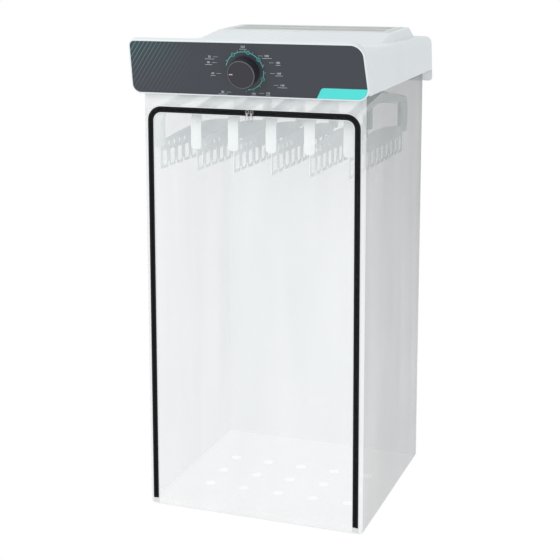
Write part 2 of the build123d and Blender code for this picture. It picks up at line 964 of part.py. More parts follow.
def door_face(grow, floor_z):
    """The area inside the zip's centre line, grown by a margin and cut off at a height."""
    slope = (zip_half_width_bottom - zip_half_width_top) / (zip_top_z - zip_bottom_z)
    reach = 2 * zip_corner_radius
    low = zip_half_width_bottom + slope * reach + grow
    high = zip_half_width_top + grow
    top_z = zip_top_z + grow
    face = Polygon(
        (-low, zip_bottom_z - reach), (low, zip_bottom_z - reach), (high, top_z), (-high, top_z),
        align=None,
    )
    corners = [v for v in face.vertices() if v.Y > top_z - 0.01]
    face = fillet(corners, zip_corner_radius + grow)
    keep_height = top_z - floor_z + zip_corner_radius
    return face & (Pos(0, floor_z + keep_height / 2) * Rectangle(4 * low, keep_height))


def bag_front_surround():
    """Front film round the doorway."""
    door = door_face(zip_gap + tape_width - tape_film_overlap, zip_bottom_z - flap_gap)
    return front_profile(bag_front_face() - door, bag_front_y, bag_front_y + film)


def bag_side_wall(side):
    """One side wall, flared with the bag."""
    high = side * bag_half_width(bag_top_z)
    low = side * bag_half_width(bag_bottom_z)
    inward = side * film
    face = Polygon(
        (high, bag_top_z), (low, bag_bottom_z), (low - inward, bag_bottom_z), (high - inward, bag_top_z),
        align=None,
    )
    return front_profile(face, bag_front_y + film, bag_rear_y - film)


def bag_rear_wall():
    """Rear film."""
    return front_profile(bag_front_face(), bag_rear_y - film, bag_rear_y)


def bag_floor():
    """Floor film with rows of air vents."""
    half = bag_half_width(bag_bottom_z) - film - film_fit
    front = bag_front_y + film
    rear = bag_rear_y - film
    centre_y = (front + rear) / 2
    face = Pos(0, centre_y) * Rectangle(2 * half, rear - front)
    for column in range(vent_columns):
        for row in range(vent_rows):
            x = (column - (vent_columns - 1) / 2) * vent_pitch
            y = centre_y + (row - (vent_rows - 1) / 2) * vent_pitch
            face -= Pos(x, y) * RegularPolygon(vent_radius, vent_sides)
    return extrude(Pos(0, 0, bag_bottom_z) * face, film)


def bag_hem_band():
    """Elastic band inside the bag's top edge, stretched over the tray's rim."""
    return rectangle_ring(
        bag_half_width_top - hem_outer,
        bag_front_y + hem_outer,
        bag_rear_y - hem_outer,
        bag_top_z - hem_height,
        bag_top_z,
        hem_thickness,
    )


def bag_flap():
    """Film flap inside the zip."""
    face = door_face(tape_film_overlap - zip_gap - tape_width, zip_bottom_z + flap_gap)
    return front_profile(face, bag_front_y, bag_front_y + film)


def zip_outer_half():
    """Tape and teeth on the bag's side of the zip."""
    face = door_face(zip_gap + tape_width, zip_bottom_z) - door_face(zip_gap, zip_bottom_z - 1)
    return front_profile(face, tape_front_y, bag_front_y)


def zip_inner_half():
    """Tape and teeth on the flap's side of the zip."""
    floor_z = zip_bottom_z + flap_gap
    face = door_face(-zip_gap, floor_z) - door_face(-zip_gap - tape_width, floor_z - 1)
    return front_profile(face, tape_front_y, bag_front_y)


def zip_end_patches():
    """Stitched patches under the two ends of the zip."""
    for side in (-1, 1):
        x = side * zip_half_width_bottom
        yield box(
            (x - patch_width / 2, bag_front_y - patch_thickness, zip_bottom_z - flap_gap - patch_height),
            (x + patch_width / 2, bag_front_y, zip_bottom_z - flap_gap),
        )


# Zip sliders

slider_plate_rear_y = tape_front_y - slider_gap
slider_plate_front_y = slider_plate_rear_y - slider_plate
bail_y = slider_plate_front_y - bail_reach


def zip_slider(x):
    """Slider: front plate over both tapes, stem in the gap, rear blade behind the flap's tape."""
    half = slider_width / 2
    rear_blade = bag_front_y + slider_gap
    front = box(
        (x - half, slider_plate_front_y, zip_top_z - slider_height / 2),
        (x + half, slider_plate_rear_y, zip_top_z + slider_height / 2),
    )
    front = chamfer(front.edges().filter_by(Axis.Y), slider_corner)
    stem = box(
        (x - slider_stem_length / 2, slider_plate_rear_y, zip_top_z - slider_stem / 2),
        (x + slider_stem_length / 2, rear_blade + film, zip_top_z + slider_stem / 2),
    )
    blade_low = zip_top_z + tape_film_overlap - zip_gap - tape_width + slider_gap
    blade = box(
        (x - half, rear_blade, blade_low), (x + half, rear_blade + film, zip_top_z + slider_stem / 2)
    )
    reach = bail_span / 2 + bail_foot
    bar = Pos(x, bail_y, zip_top_z) * Rot(0, 90, 0) * Cylinder(bail_half, 2 * reach)
    slider = front + stem + blade + bar
    for side in (-1, 1):
        foot_x = x + side * (bail_span + bail_foot) / 2
        slider += box(
            (foot_x - bail_foot / 2, bail_y, zip_top_z - bail_half),
            (foot_x + bail_foot / 2, slider_plate_front_y, zip_top_z + bail_half),
        )
    return slider


def zip_pull(x):
    """Pull tab that hangs from the slider's bail."""
    half_eye = pull_eye_width / 2
    bore = bail_half + pull_fit
    rim = bore + pull_eye_wall
    eye = box((x - half_eye, bail_y - rim, zip_top_z - rim), (x + half_eye, bail_y + rim, zip_top_z + rim))
    half = pull_width / 2
    tab_face = Polygon(
        (x - half_eye, zip_top_z),
        (x + half_eye, zip_top_z),
        (x + half_eye, zip_top_z - pull_neck_length),
        (x + half, zip_top_z - pull_shoulder_length),
        (x + half * pull_taper, zip_top_z - pull_length),
        (x - half * pull_taper, zip_top_z - pull_length),
        (x - half, zip_top_z - pull_shoulder_length),
        (x - half_eye, zip_top_z - pull_neck_length),
        align=None,
    )
    tab = front_profile(tab_face, bail_y - pull_thickness / 2, bail_y + pull_thickness / 2)
    slot = box(
        (x - pull_width, bail_y - bore, zip_top_z - bore), (x + pull_width, bail_y + bore, zip_top_z + bore)
    )
    return eye + tab - slot


# Rail and hangers

rail_half_length = bag_half_width_top - rim_outer - rim_thickness - rail_end_gap
hanger_first_x = hanger_left_inset - rail_half_length
hanger_pitch = (2 * rail_half_length - hanger_left_inset - hanger_right_inset) / (hanger_count - 1)


def hanger_rail():
    """Channel under the tray, open downwards, in which the hangers slide."""
    low = tray_bottom_z - rail_height
    half = rail_width / 2
    outer = side_profile(
        [
            (rail_y - half, low),
            (rail_y - half, tray_bottom_z),
            (rail_y + half, tray_bottom_z),
            (rail_y + half, low),
        ],
        rail_half_length,
    )
    inside = half - rail_wall
    cavity = side_profile(
        [
            (rail_y - inside, low + rail_wall),
            (rail_y - inside, tray_bottom_z - rail_wall),
            (rail_y + inside, tray_bottom_z - rail_wall),
            (rail_y + inside, low + rail_wall),
        ],
        rail_half_length + 1,
    )
    slot = side_profile(
        [
            (rail_y - rail_slot / 2, low - 1),
            (rail_y - rail_slot / 2, low + rail_wall + 1),
            (rail_y + rail_slot / 2, low + rail_wall + 1),
            (rail_y + rail_slot / 2, low - 1),
        ],
        rail_half_length + 1,
    )
    return outer - cavity - slot


def hanger_bend():
    """Points round the front shoulder, from the post's side up to the slope."""
    slope = math.atan2(hanger_apex_z - hanger_shoulder_z, hanger_length / 2)
    turn = math.pi / 2 - slope
    setback = hanger_shoulder_radius * math.tan(turn / 2)
    centre_y = hanger_front_y + hanger_shoulder_radius
    centre_z = hanger_shoulder_z - setback
    for step in range(hanger_bend_steps + 1):
        angle = turn * step / hanger_bend_steps
        yield (
            centre_y - hanger_shoulder_radius * math.cos(angle),
            centre_z + hanger_shoulder_radius * math.sin(angle),
        )


def hanger_outline(inset):
    """Area under the hanger's gable, drawn in (Y, Z) and open downwards."""
    foot = hanger_post_bottom_z - 2 * hanger_shoulder_radius
    front = list(hanger_bend())
    rear = [(2 * rail_y - y, z) for y, z in reversed(front)]
    face = Polygon(
        (hanger_front_y, foot), *front, (rail_y, hanger_apex_z), *rear, (hanger_rear_y, foot), align=None
    )
    return offset(face, amount=-inset, kind=Kind.INTERSECTION) if inset else face


def above_post_foot(face):
    """The part of a hanger face above the lower end of its posts."""
    height = hanger_apex_z - hanger_post_bottom_z + hanger_shoulder_radius
    window = Pos(rail_y, hanger_post_bottom_z + height / 2) * Rectangle(2 * hanger_length, height)
    return face & window


def hanger_frame(x):
    """Moulded arch of T section with two posts, and a runner that slides in the rail."""
    flange = above_post_foot(hanger_outline(0) - hanger_outline(hanger_flange))
    web = above_post_foot(
        hanger_outline(hanger_flange) - hanger_outline(hanger_flange + hanger_web_depth)
    )
    arm = across(flange, x, hanger_flange_width) + across(web, x, hanger_web)
    slot_floor = tray_bottom_z - rail_height + rail_wall
    half = hanger_runner_length / 2
    neck = box(
        (x - half, rail_y - runner_neck / 2, hanger_apex_z - hanger_flange - runner_sink),
        (x + half, rail_y + runner_neck / 2, slot_floor + runner_gap + runner_sink),
    )
    head = box(
        (x - half, rail_y - runner_head / 2, slot_floor + runner_gap),
        (x + half, rail_y + runner_head / 2, slot_floor + runner_gap + runner_head_height),
    )
    return arm + neck + head


def comb_hole():
    """Upright six-sided oval."""
    wide = comb_hole_width / 2
    tall = comb_hole_height / 2
    return Polygon(
        (wide, -tall / 2),
        (wide, tall / 2),
        (0, tall),
        (-wide, tall / 2),
        (-wide, -tall / 2),
        (0, -tall),
        align=None,
    )


def hanger_comb(x):
    """Thin comb between the posts: arched top, closed slots and a scalloped lower edge."""
    inner = hanger_flange + hanger_web_depth
    front = hanger_front_y + inner
    rear = hanger_rear_y - inner
    lower_front = hanger_front_y + hanger_flange
    lower_rear = hanger_rear_y - hanger_flange
    rise = comb_top_middle_z - comb_top_end_z
    upper = [
        (
            front + (rear - front) * step / comb_arch_steps,
            comb_top_end_z + rise * math.sin(math.pi * step / comb_arch_steps),
        )
        for step in range(comb_arch_steps + 1)
    ]
    face = Polygon(
        *upper,
        (rear, hanger_post_bottom_z),
        (lower_rear, hanger_post_bottom_z),
        (lower_rear, comb_bottom_z),
        (lower_front, comb_bottom_z),
        (lower_front, hanger_post_bottom_z),
        (front, hanger_post_bottom_z),
        align=None,
    )
    span = lower_rear - lower_front
    pitch = span / comb_slot_count
    slot_height = comb_slot_top_z - comb_slot_bottom_z
    slot_z = (comb_slot_top_z + comb_slot_bottom_z) / 2
    for place in range(comb_slot_count):
        y = lower_front + (place + 0.5) * pitch
        face -= Pos(y, slot_z) * Rectangle(comb_slot_width, slot_height)
    half_notch = comb_notch_width / 2
    for place in range(comb_slot_count - 1):
        y = lower_front + (place + 1) * pitch
        face -= Polygon(
            (y - half_notch, comb_bottom_z - 1),
            (y + half_notch, comb_bottom_z - 1),
            (y + half_notch / 2, comb_bottom_z + comb_notch_height),
            (y - half_notch / 2, comb_bottom_z + comb_notch_height),
            align=None,
        )
    for place in range(comb_hole_count):
        y = front + comb_hole_first + place * comb_hole_pitch
        face -= Pos(y, comb_hole_z) * comb_hole()
    return across(face, x, comb_thickness)


def build():
    """Make every sub-part and write one file for each."""
    os.makedirs("parts", exist_ok=True)
    save(top_cover(), "top_cover")
    save(inlet_grille(), "inlet_grille")
    save(front_fascia(), "front_fascia")
    save(control_panel(), "control_panel")
    save(accent_strip(), "accent_strip")
    save(timer_switch(), "timer_switch")
    save(timer_shaft(), "timer_shaft")
    save(timer_knob(), "timer_knob")
    save(knob_marker(), "knob_marker")
    save(rear_plate(), "rear_plate")
    save(wall_bracket(), "wall_bracket")
    save(base_tray(), "base_tray")
    save(fan_shroud(), "fan_shroud")
    save(motor_bracket(), "motor_bracket")
    save(fan_motor(), "fan_motor")
    save(fan_shaft(), "fan_shaft")
    save(fan_impeller(), "fan_impeller")
    save(group(heater_frame()), "heater_frame")
    save(heater_element(), "heater_element")
    save(outlet_grille(), "outlet_grille")
    save(thermostat(), "thermostat")
    save(thermal_fuse(), "thermal_fuse")
    save(terminal_block(), "terminal_block")
    save(cord_gland(), "cord_gland")
    save(bag_front_surround(), "bag_front_surround")
    save(bag_side_wall(-1), "bag_left_wall")
    save(bag_side_wall(1), "bag_right_wall")
    save(bag_rear_wall(), "bag_rear_wall")
    save(bag_floor(), "bag_floor")
    save(bag_hem_band(), "bag_hem_band")
    save(bag_flap(), "bag_flap")
    save(zip_outer_half(), "zip_outer_half")
    save(zip_inner_half(), "zip_inner_half")
    save(group(zip_end_patches()), "zip_end_patches")
    for name, side in (("left", -1), ("right", 1)):
        x = slider_centre_x + side * slider_pitch / 2
        save(zip_slider(x), f"zip_slider_{name}")
        save(zip_pull(x), f"zip_pull_{name}")
    save(hanger_rail(), "hanger_rail")
    for place in range(hanger_count):
        x = hanger_first_x + place * hanger_pitch
        save(hanger_frame(x), f"hanger_frame_{place + 1}")
        save(hanger_comb(x), f"hanger_comb_{place + 1}")


build()
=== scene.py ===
"""Wall-hung clothes dryer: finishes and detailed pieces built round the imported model."""

import math

import bmesh
import bpy
from mathutils import Matrix, Vector, noise


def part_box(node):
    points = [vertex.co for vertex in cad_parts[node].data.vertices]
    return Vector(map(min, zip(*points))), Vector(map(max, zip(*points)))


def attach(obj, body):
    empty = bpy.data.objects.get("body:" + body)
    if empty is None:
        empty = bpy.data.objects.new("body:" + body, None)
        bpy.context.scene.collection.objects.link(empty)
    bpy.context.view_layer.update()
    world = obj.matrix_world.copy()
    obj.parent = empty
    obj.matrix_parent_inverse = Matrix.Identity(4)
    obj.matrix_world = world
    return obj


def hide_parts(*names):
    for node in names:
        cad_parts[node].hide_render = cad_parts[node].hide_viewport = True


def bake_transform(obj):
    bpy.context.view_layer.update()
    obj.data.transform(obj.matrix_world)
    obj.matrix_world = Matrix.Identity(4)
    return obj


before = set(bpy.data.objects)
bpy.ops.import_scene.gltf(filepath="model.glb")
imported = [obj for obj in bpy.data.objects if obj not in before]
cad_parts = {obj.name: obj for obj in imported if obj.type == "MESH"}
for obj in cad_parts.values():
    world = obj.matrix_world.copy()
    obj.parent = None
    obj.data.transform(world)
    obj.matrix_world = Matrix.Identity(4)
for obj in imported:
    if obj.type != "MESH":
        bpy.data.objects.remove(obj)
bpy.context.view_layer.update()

bl_info = {
    "name": "Wall-hung clothes dryer",
    "version": (1, 0, 0),
    "blender": (4, 5, 0),
    "location": "View3D > Sidebar > Dryer",
    "description": "Builds a wall-hung dryer with a film bag, zip, comb hangers and timer knob",
    "category": "Object",
}

# Lengths are in metres throughout. X runs to the right, Y to the wall and Z up.

# Tolerances: for picking points and faces by their place, and for merging points
NEAR = 1e-5
SAME_PLACE = 1e-6

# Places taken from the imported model
SURROUND_LOW, SURROUND_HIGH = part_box("bag_front_surround")
BAG_TOP = SURROUND_HIGH.z
BAG_FOOT = SURROUND_LOW.z
BAG_FRONT = SURROUND_LOW.y
BAG_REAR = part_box("bag_rear_wall")[1].y
BAG_MIDDLE_Y = (BAG_FRONT + BAG_REAR) / 2
BAG_HALF_FOOT = SURROUND_HIGH.x
FLAP_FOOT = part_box("bag_flap")[0].z
RAIL_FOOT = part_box("hanger_rail")[0].z

# Half the bag's width at the head, from which it widens to BAG_HALF_FOOT
BAG_HALF_TOP = 0.2835

# The zip's closing line, which runs up, over and down again round two rounded corners
ZIP_HALF_TOP = 0.2645
ZIP_HALF_FOOT = 0.2712
ZIP_TOP = -0.0973
ZIP_FOOT = -1.118
ZIP_CORNER = 0.028

# How far the tape and the film under it reach from the closing line
TAPE_REACH = 0.0074
FILM_UNDER_TAPE = 0.004

# The control panel's plane: X across, Y up along its lean and Z out of its face
PANEL_LEAN = math.radians(15.3)
PANEL_FOOT = Vector((0.0, -0.6458, -0.0543))
PANEL_FACE_DEPTH = 0.0006
KNOB_HEIGHT = 0.062
PANEL_FRAME = Matrix(
    (
        (1, 0, 0, PANEL_FOOT.x),
        (0, -math.sin(PANEL_LEAN), -math.cos(PANEL_LEAN), PANEL_FOOT.y),
        (0, math.cos(PANEL_LEAN), -math.sin(PANEL_LEAN), PANEL_FOOT.z),
        (0, 0, 0, 1),
    )
)
KNOB_FRAME = PANEL_FRAME @ Matrix.Translation((0, KNOB_HEIGHT, 0))


# Settings


class DryerHeadSettings(bpy.types.PropertyGroup):
    """Sizes and colours of the head."""

    cover_colour: bpy.props.FloatVectorProperty(
        name="Cover colour",
        description="Colour of the moulded cover, fascia and rear plate",
        subtype="COLOR",
        default=(0.775, 0.838, 0.858),
        min=0,
        max=1,
    )
    grille_colour: bpy.props.FloatVectorProperty(
        name="Grille colour",
        description="Colour of the air inlet and outlet grilles",
        subtype="COLOR",
        default=(0.72, 0.76, 0.74),
        min=0,
        max=1,
    )
    panel_colour: bpy.props.FloatVectorProperty(
        name="Panel colour",
        description="Colour of the control panel's plate",
        subtype="COLOR",
        default=(0.034, 0.040, 0.052),
        min=0,
        max=1,
    )
    accent_colour: bpy.props.FloatVectorProperty(
        name="Accent colour",
        description="Colour of the inlay at the panel's lower right and of the dial's ring",
        subtype="COLOR",
        default=(0.075, 0.73, 0.69),
        min=0,
        max=1,
    )
    print_colour: bpy.props.FloatVectorProperty(
        name="Print colour",
        description="Colour of the dial's numbers and leader lines",
        subtype="COLOR",
        default=(0.62, 0.65, 0.67),
        min=0,
        max=1,
    )
    knob_colour: bpy.props.FloatVectorProperty(
        name="Knob colour",
        description="Colour of the timer knob",
        subtype="COLOR",
        default=(0.020, 0.019, 0.027),
        min=0,
        max=1,
    )
    knob_radius: bpy.props.FloatProperty(
        name="Knob radius",
        description="Radius of the timer knob at its foot",
        default=0.0354,
        min=0.02,
        max=0.045,
        unit="LENGTH",
    )
    dial_radius: bpy.props.FloatProperty(
        name="Dial ring radius",
        description="Radius of the printed ring round the knob",
        default=0.047,
        min=0.04,
        max=0.055,
        unit="LENGTH",
    )


class DryerBagSettings(bpy.types.PropertyGroup):
    """Sizes and colours of the film bag and its zip."""

    film_colour: bpy.props.FloatVectorProperty(
        name="Film colour",
        description="Colour that the milky film scatters",
        subtype="COLOR",
        default=(0.86, 0.89, 0.905),
        min=0,
        max=1,
    )
    flap_density: bpy.props.FloatProperty(
        name="Flap density",
        description="How milky the film inside the zip is, from 0, clear, to 1, opaque",
        default=0.215,
        min=0,
        max=1,
        subtype="FACTOR",
    )
    front_density: bpy.props.FloatProperty(
        name="Front density",
        description="How milky the film round the zip is, from 0, clear, to 1, opaque",
        default=0.34,
        min=0,
        max=1,
        subtype="FACTOR",
    )
    hem_density: bpy.props.FloatProperty(
        name="Hem density",
        description="How milky the front film is where it is doubled under the head",
        default=0.6,
        min=0,
        max=1,
        subtype="FACTOR",
    )
    side_density: bpy.props.FloatProperty(
        name="Side density",
        description="How milky the side walls are, from 0, clear, to 1, opaque",
        default=0.43,
        min=0,
        max=1,
        subtype="FACTOR",
    )
    # Painted shade: the side walls' outer face gets this dark colour for the shade they hang in
    side_shade_colour: bpy.props.FloatVectorProperty(
        name="Side colour",
        description="Painted shade colour of the side walls' outer face",
        subtype="COLOR",
        default=(0.03, 0.033, 0.04),
        min=0,
        max=1,
    )
    rear_density: bpy.props.FloatProperty(
        name="Rear density",
        description="How milky the rear wall is, from 0, clear, to 1, opaque",
        default=0.44,
        min=0,
        max=1,
        subtype="FACTOR",
    )
    floor_density: bpy.props.FloatProperty(
        name="Floor density",
        description="How milky the bag's floor is, from 0, clear, to 1, opaque",
        default=0.25,
        min=0,
        max=1,
        subtype="FACTOR",
    )
    fold_depth: bpy.props.FloatProperty(
        name="Fold depth",
        description="How far the soft folds of the film stand out",
        default=0.0035,
        min=0,
        max=0.01,
        unit="LENGTH",
    )
    corner_droop: bpy.props.FloatProperty(
        name="Corner droop",
        description="How far the film's rear right corner has slipped down from the head",
        default=0.02,
        min=0,
        max=0.03,
        unit="LENGTH",
    )
    zip_colour: bpy.props.FloatVectorProperty(
        name="Zip colour",
        description="Colour of the zip's tape and coil",
        subtype="COLOR",
        default=(0.008, 0.009, 0.010),
        min=0,
        max=1,
    )
    coil_pitch: bpy.props.FloatProperty(
        name="Coil pitch",
        description="Distance from one turn of the zip's coil to the next on one side",
        default=0.0026,
        min=0.001,
        max=0.006,
        unit="LENGTH",
    )


class DryerHangerSettings(bpy.types.PropertyGroup):
    """Sizes and colours of the comb hangers."""

    hanger_colour: bpy.props.FloatVectorProperty(
        name="Hanger colour",
        description="Colour of the hangers and their combs",
        subtype="COLOR",
        default=(0.945, 0.98, 0.985),
        min=0,
        max=1,
    )
    slot_width: bpy.props.FloatProperty(
        name="Slot width",
        description="Width of the slots in the comb",
        default=0.025,
        min=0.01,
        max=0.03,
        unit="LENGTH",
    )
    edge_rounding: bpy.props.FloatProperty(
        name="Edge rounding",
        description="Radius of the moulded edges",
        default=0.0008,
        min=0.0002,
        max=0.0012,
        unit="LENGTH",
    )


class DryerStageSettings(bpy.types.PropertyGroup):
    """Camera, lamps and floor."""

    lens: bpy.props.FloatProperty(
        name="Lens",
        description="Focal length of the camera in millimetres",
        default=81.14,
        min=20,
        max=200,
    )
    floor_drop: bpy.props.FloatProperty(
        name="Floor drop",
        description="Height of the bag's foot above the floor",
        default=1.1,
        min=0,
        max=1.5,
        unit="LENGTH",
    )
    key_power: bpy.props.FloatProperty(
        name="Key lamp",
        description="Power of the large lamp at the front left",
        default=43.0,
        min=0,
        unit="POWER",
    )
    fill_power: bpy.props.FloatProperty(
        name="Fill lamp",
        description="Power of the soft lamp at the right",
        default=16.5,
        min=0,
        unit="POWER",
    )
    room_light: bpy.props.FloatProperty(
        name="Room light",
        description="Strength of the even light from all round",
        default=0.715,
        min=0,
        max=1,
    )


# Shader node groups

# What a group for a whole surface puts out
SURFACE = (
    ("Colour", "NodeSocketColor"),
    ("Roughness", "NodeSocketFloat"),
    ("Normal", "NodeSocketVector"),
)


def new_group(name, inputs, outputs):
    """An empty shader group, with the sockets that its own nodes read from and write to."""
    tree = bpy.data.node_groups.new(name, "ShaderNodeTree")
    for label, kind, value in inputs:
        socket = tree.interface.new_socket(name=label, in_out="INPUT", socket_type=kind)
        if value is not None:
            socket.default_value = value
    for label, kind in outputs:
        tree.interface.new_socket(name=label, in_out="OUTPUT", socket_type=kind)
    given = tree.nodes.new("NodeGroupInput")
    result = tree.nodes.new("NodeGroupOutput")
    return tree, given.outputs, result.inputs


def feed(tree, sockets, sources):
    """Links each named or numbered input to another node's output, or gives it a value."""
    for key, source in sources.items():
        if isinstance(source, bpy.types.NodeSocket):
            tree.links.new(source, sockets[key])
        else:
            sockets[key].default_value = source


def add_node(tree, kind, inputs=None, **values):
    """A node with its properties set and its inputs fed."""
    node = tree.nodes.new(kind)
    for key, value in values.items():
        setattr(node, key, value)
    feed(tree, node.inputs, inputs or {})
    return node


def noise_node(tree, vector, scale, detail=2.0):
    """Fractal noise on given coordinates, from 0 to 1."""
    inputs = {"Vector": vector, "Scale": scale, "Detail": detail, "Roughness": 0.5}
    return add_node(tree, "ShaderNodeTexNoise", inputs).outputs["Fac"]


def bands_node(tree, direction, inputs):
    """Soft parallel bands across one axis, from 0 to 1."""
    kinds = {"wave_type": "BANDS", "bands_direction": direction}
    return add_node(tree, "ShaderNodeTexWave", inputs, **kinds).outputs["Fac"]


def mapping_node(tree, vector, **change):
    """Coordinates stretched by a Scale or turned by a Rotation."""
    return add_node(tree, "ShaderNodeMapping", {"Vector": vector, **change}).outputs["Vector"]


def map_range(tree, value, low, high, to_low, to_high):
    """A value moved from one range to another, and kept within that."""
    inputs = {
        "Value": value,
        "From Min": low,
        "From Max": high,
        "To Min": to_low,
        "To Max": to_high,
    }
    return add_node(tree, "ShaderNodeMapRange", inputs).outputs[0]


def math_node(tree, operation, first, second, clamp=False):
    """One operation on two values."""
    inputs = {0: first, 1: second}
    return add_node(tree, "ShaderNodeMath", inputs, operation=operation, use_clamp=clamp).outputs[0]


def colour_mix(tree, factor, first, second):
    """A mix of two colours."""
    inputs = {0: factor, 6: first, 7: second}
    return add_node(tree, "ShaderNodeMix", inputs, data_type="RGBA").outputs[2]


def bump_node(tree, height, strength, distance):
    """Small relief from a height between 0 and 1."""
    inputs = {"Height": height, "Strength": strength, "Distance": distance}
    return add_node(tree, "ShaderNodeBump", inputs).outputs["Normal"]


def moulded_group():
    """Moulded plastic: fine grain, slow mottling and slightly uneven gloss."""
    tree, given, result = new_group(
        "moulded_surface",
        (
            ("Vector", "NodeSocketVector", None),
            ("Colour", "NodeSocketColor", (0.8, 0.8, 0.8, 1)),
            ("Roughness", "NodeSocketFloat", 0.35),
            ("Grain Scale", "NodeSocketFloat", 900.0),
            ("Grain Depth", "NodeSocketFloat", 0.05),
            ("Mottle", "NodeSocketFloat", 0.04),
        ),
        SURFACE,
    )
    slow = noise_node(tree, given["Vector"], 7.0, 3.0)
    grain = noise_node(tree, given["Vector"], given["Grain Scale"], 1.0)
    darker = math_node(tree, "MULTIPLY", slow, given["Mottle"])
    uneven = map_range(tree, slow, 0.3, 0.7, -0.05, 0.05)
    made = {
        "Colour": colour_mix(tree, darker, given["Colour"], (0, 0, 0, 1)),
        "Roughness": math_node(tree, "ADD", given["Roughness"], uneven, clamp=True),
        "Normal": bump_node(tree, grain, given["Grain Depth"], 0.0002),
    }
    feed(tree, result, made)
    return tree


def metal_group():
    """Rolled or plated metal: stretched brush marks, blotches and stains."""
    tree, given, result = new_group(
        "worked_metal",
        (
            ("Vector", "NodeSocketVector", None),
            ("Colour", "NodeSocketColor", (0.6, 0.6, 0.6, 1)),
            ("Stain", "NodeSocketColor", (0.4, 0.4, 0.4, 1)),
            ("Stain Amount", "NodeSocketFloat", 0.3),
            ("Roughness", "NodeSocketFloat", 0.35),
        ),
        SURFACE,
    )
    stretched = mapping_node(tree, given["Vector"], Scale=(1.0, 1.0, 0.08))
    brush = noise_node(tree, stretched, 700.0)
    patch = noise_node(tree, given["Vector"], 28.0, 4.0)
    stained = map_range(tree, patch, 0.4, 0.7, 0.0, 1.0)
    amount = math_node(tree, "MULTIPLY", stained, given["Stain Amount"])
    uneven = map_range(tree, brush, 0.3, 0.7, -0.08, 0.1)
    made = {
        "Colour": colour_mix(tree, amount, given["Colour"], given["Stain"]),
        "Roughness": math_node(tree, "ADD", given["Roughness"], uneven, clamp=True),
        "Normal": bump_node(tree, brush, 0.15, 0.0001),
    }
    feed(tree, result, made)
    return tree


def weave_group():
    """Plain woven tape: two crossed waves with a little unevenness."""
    tree, given, result = new_group(
        "plain_weave",
        (
            ("Vector", "NodeSocketVector", None),
            ("Colour", "NodeSocketColor", (0.1, 0.1, 0.1, 1)),
            ("Thread Scale", "NodeSocketFloat", 260.0),
        ),
        (*SURFACE[:2], ("Height", "NodeSocketFloat")),
    )
    wave = {
        "Vector": given["Vector"],
        "Scale": given["Thread Scale"],
        "Distortion": 0.6,
        "Detail": 1.0,
    }
    height = math_node(tree, "MULTIPLY", *(bands_node(tree, axis, wave) for axis in ("X", "Z")))
    lighter = map_range(tree, height, 0.0, 1.0, 0.0, 0.05)
    made = {
        "Colour": colour_mix(tree, lighter, given["Colour"], (0.5, 0.5, 0.5, 1)),
        "Roughness": map_range(tree, height, 0.0, 1.0, 0.9, 0.7),
        "Height": height,
    }
    feed(tree, result, made)
    return tree


# Materials

FINISHES = {}

# The film's clouds and its streaks, which are drawn out downwards, and the grey tint of the painted
# shade along the streaks
CLOUD_SCALE = 2.4
STREAK_SCALE = 1.4
STREAK_STRETCH = (9.0, 9.0, 1.1)
FOLD_SHADE_TINT = (0.45, 0.5, 0.52, 1)

# How far below the head the doubled hem has its full density
HEM_REACH = 0.055

# The panel's pinstripes: their slant, their scale, and where they fade out along X
STRIPE_SLANT = math.radians(-38)
STRIPE_SCALE = 36.0
STRIPE_FADE = (-0.285, -0.125)
STRIPE_GREY = (0.42, 0.45, 0.47, 1)


def made_once(maker):
    """Keeps each finish by its name, so that a second call gives the same material."""

    def finish(name, *values, **named):
        if name not in FINISHES:
            FINISHES[name] = maker(name, *values, **named)
        return FINISHES[name]

    return finish


def new_material(name):
    """A material with only a Principled shader and its output."""
    material = bpy.data.materials.new(f"finish_{name}")
    material.use_nodes = True
    tree = material.node_tree
    tree.nodes.clear()
    shader = tree.nodes.new("ShaderNodeBsdfPrincipled")
    add_node(tree, "ShaderNodeOutputMaterial", {"Surface": shader.outputs["BSDF"]})
    place = tree.nodes.new("ShaderNodeTexCoord")
    return material, tree, shader.inputs, place.outputs["Object"]


def shared_group(tree, maker, name, inputs):
    """Places a group in a material, and makes the group the first time."""
    group = bpy.data.node_groups.get(name) or maker()
    return add_node(tree, "ShaderNodeGroup", inputs, node_tree=group).outputs


def coat(tree, shader, surface):
    """Gives the shader the colour, roughness and normal of a surface group."""
    look = {
        "Base Color": surface["Colour"],
        "Roughness": surface["Roughness"],
        "Normal": surface["Normal"],
    }
    feed(tree, shader, look)


def rgba(colour):
    """A colour with full alpha."""
    return (colour[0], colour[1], colour[2], 1.0)


@made_once
def plastic(name, colour, roughness, grain=900.0, depth=0.05, mottle=0.05, gloss=0.5):
    """Moulded plastic finish."""
    material, tree, shader, place = new_material(name)
    values = {
        "Vector": place,
        "Colour": rgba(colour),
        "Roughness": roughness,
        "Grain Scale": grain,
        "Grain Depth": depth,
        "Mottle": mottle,
    }
    coat(tree, shader, shared_group(tree, moulded_group, "moulded_surface", values))
    feed(tree, shader, {"Specular IOR Level": gloss})
    return material


@made_once
def metal(name, colour, stain, amount, roughness):
    """Rolled, plated or heat-toned metal finish."""
    material, tree, shader, place = new_material(name)
    values = {
        "Vector": place,
        "Colour": rgba(colour),
        "Stain": rgba(stain),
        "Stain Amount": amount,
        "Roughness": roughness,
    }
    coat(tree, shader, shared_group(tree, metal_group, "worked_metal", values))
    feed(tree, shader, {"Metallic": 1.0})
    return material


@made_once
def woven(name, colour, threads, depth=0.4, sheen=0.15, gloss=0.5):
    """Woven tape or thread finish."""
    material, tree, shader, place = new_material(name)
    values = {"Vector": place, "Colour": rgba(colour), "Thread Scale": threads}
    cloth = shared_group(tree, weave_group, "plain_weave", values)
    look = {
        "Base Color": cloth["Colour"],
        "Roughness": cloth["Roughness"],
        "Normal": bump_node(tree, cloth["Height"], depth, 0.0003),
        "Sheen Weight": sheen,
        "Specular IOR Level": gloss,
    }
    feed(tree, shader, look)
    return material


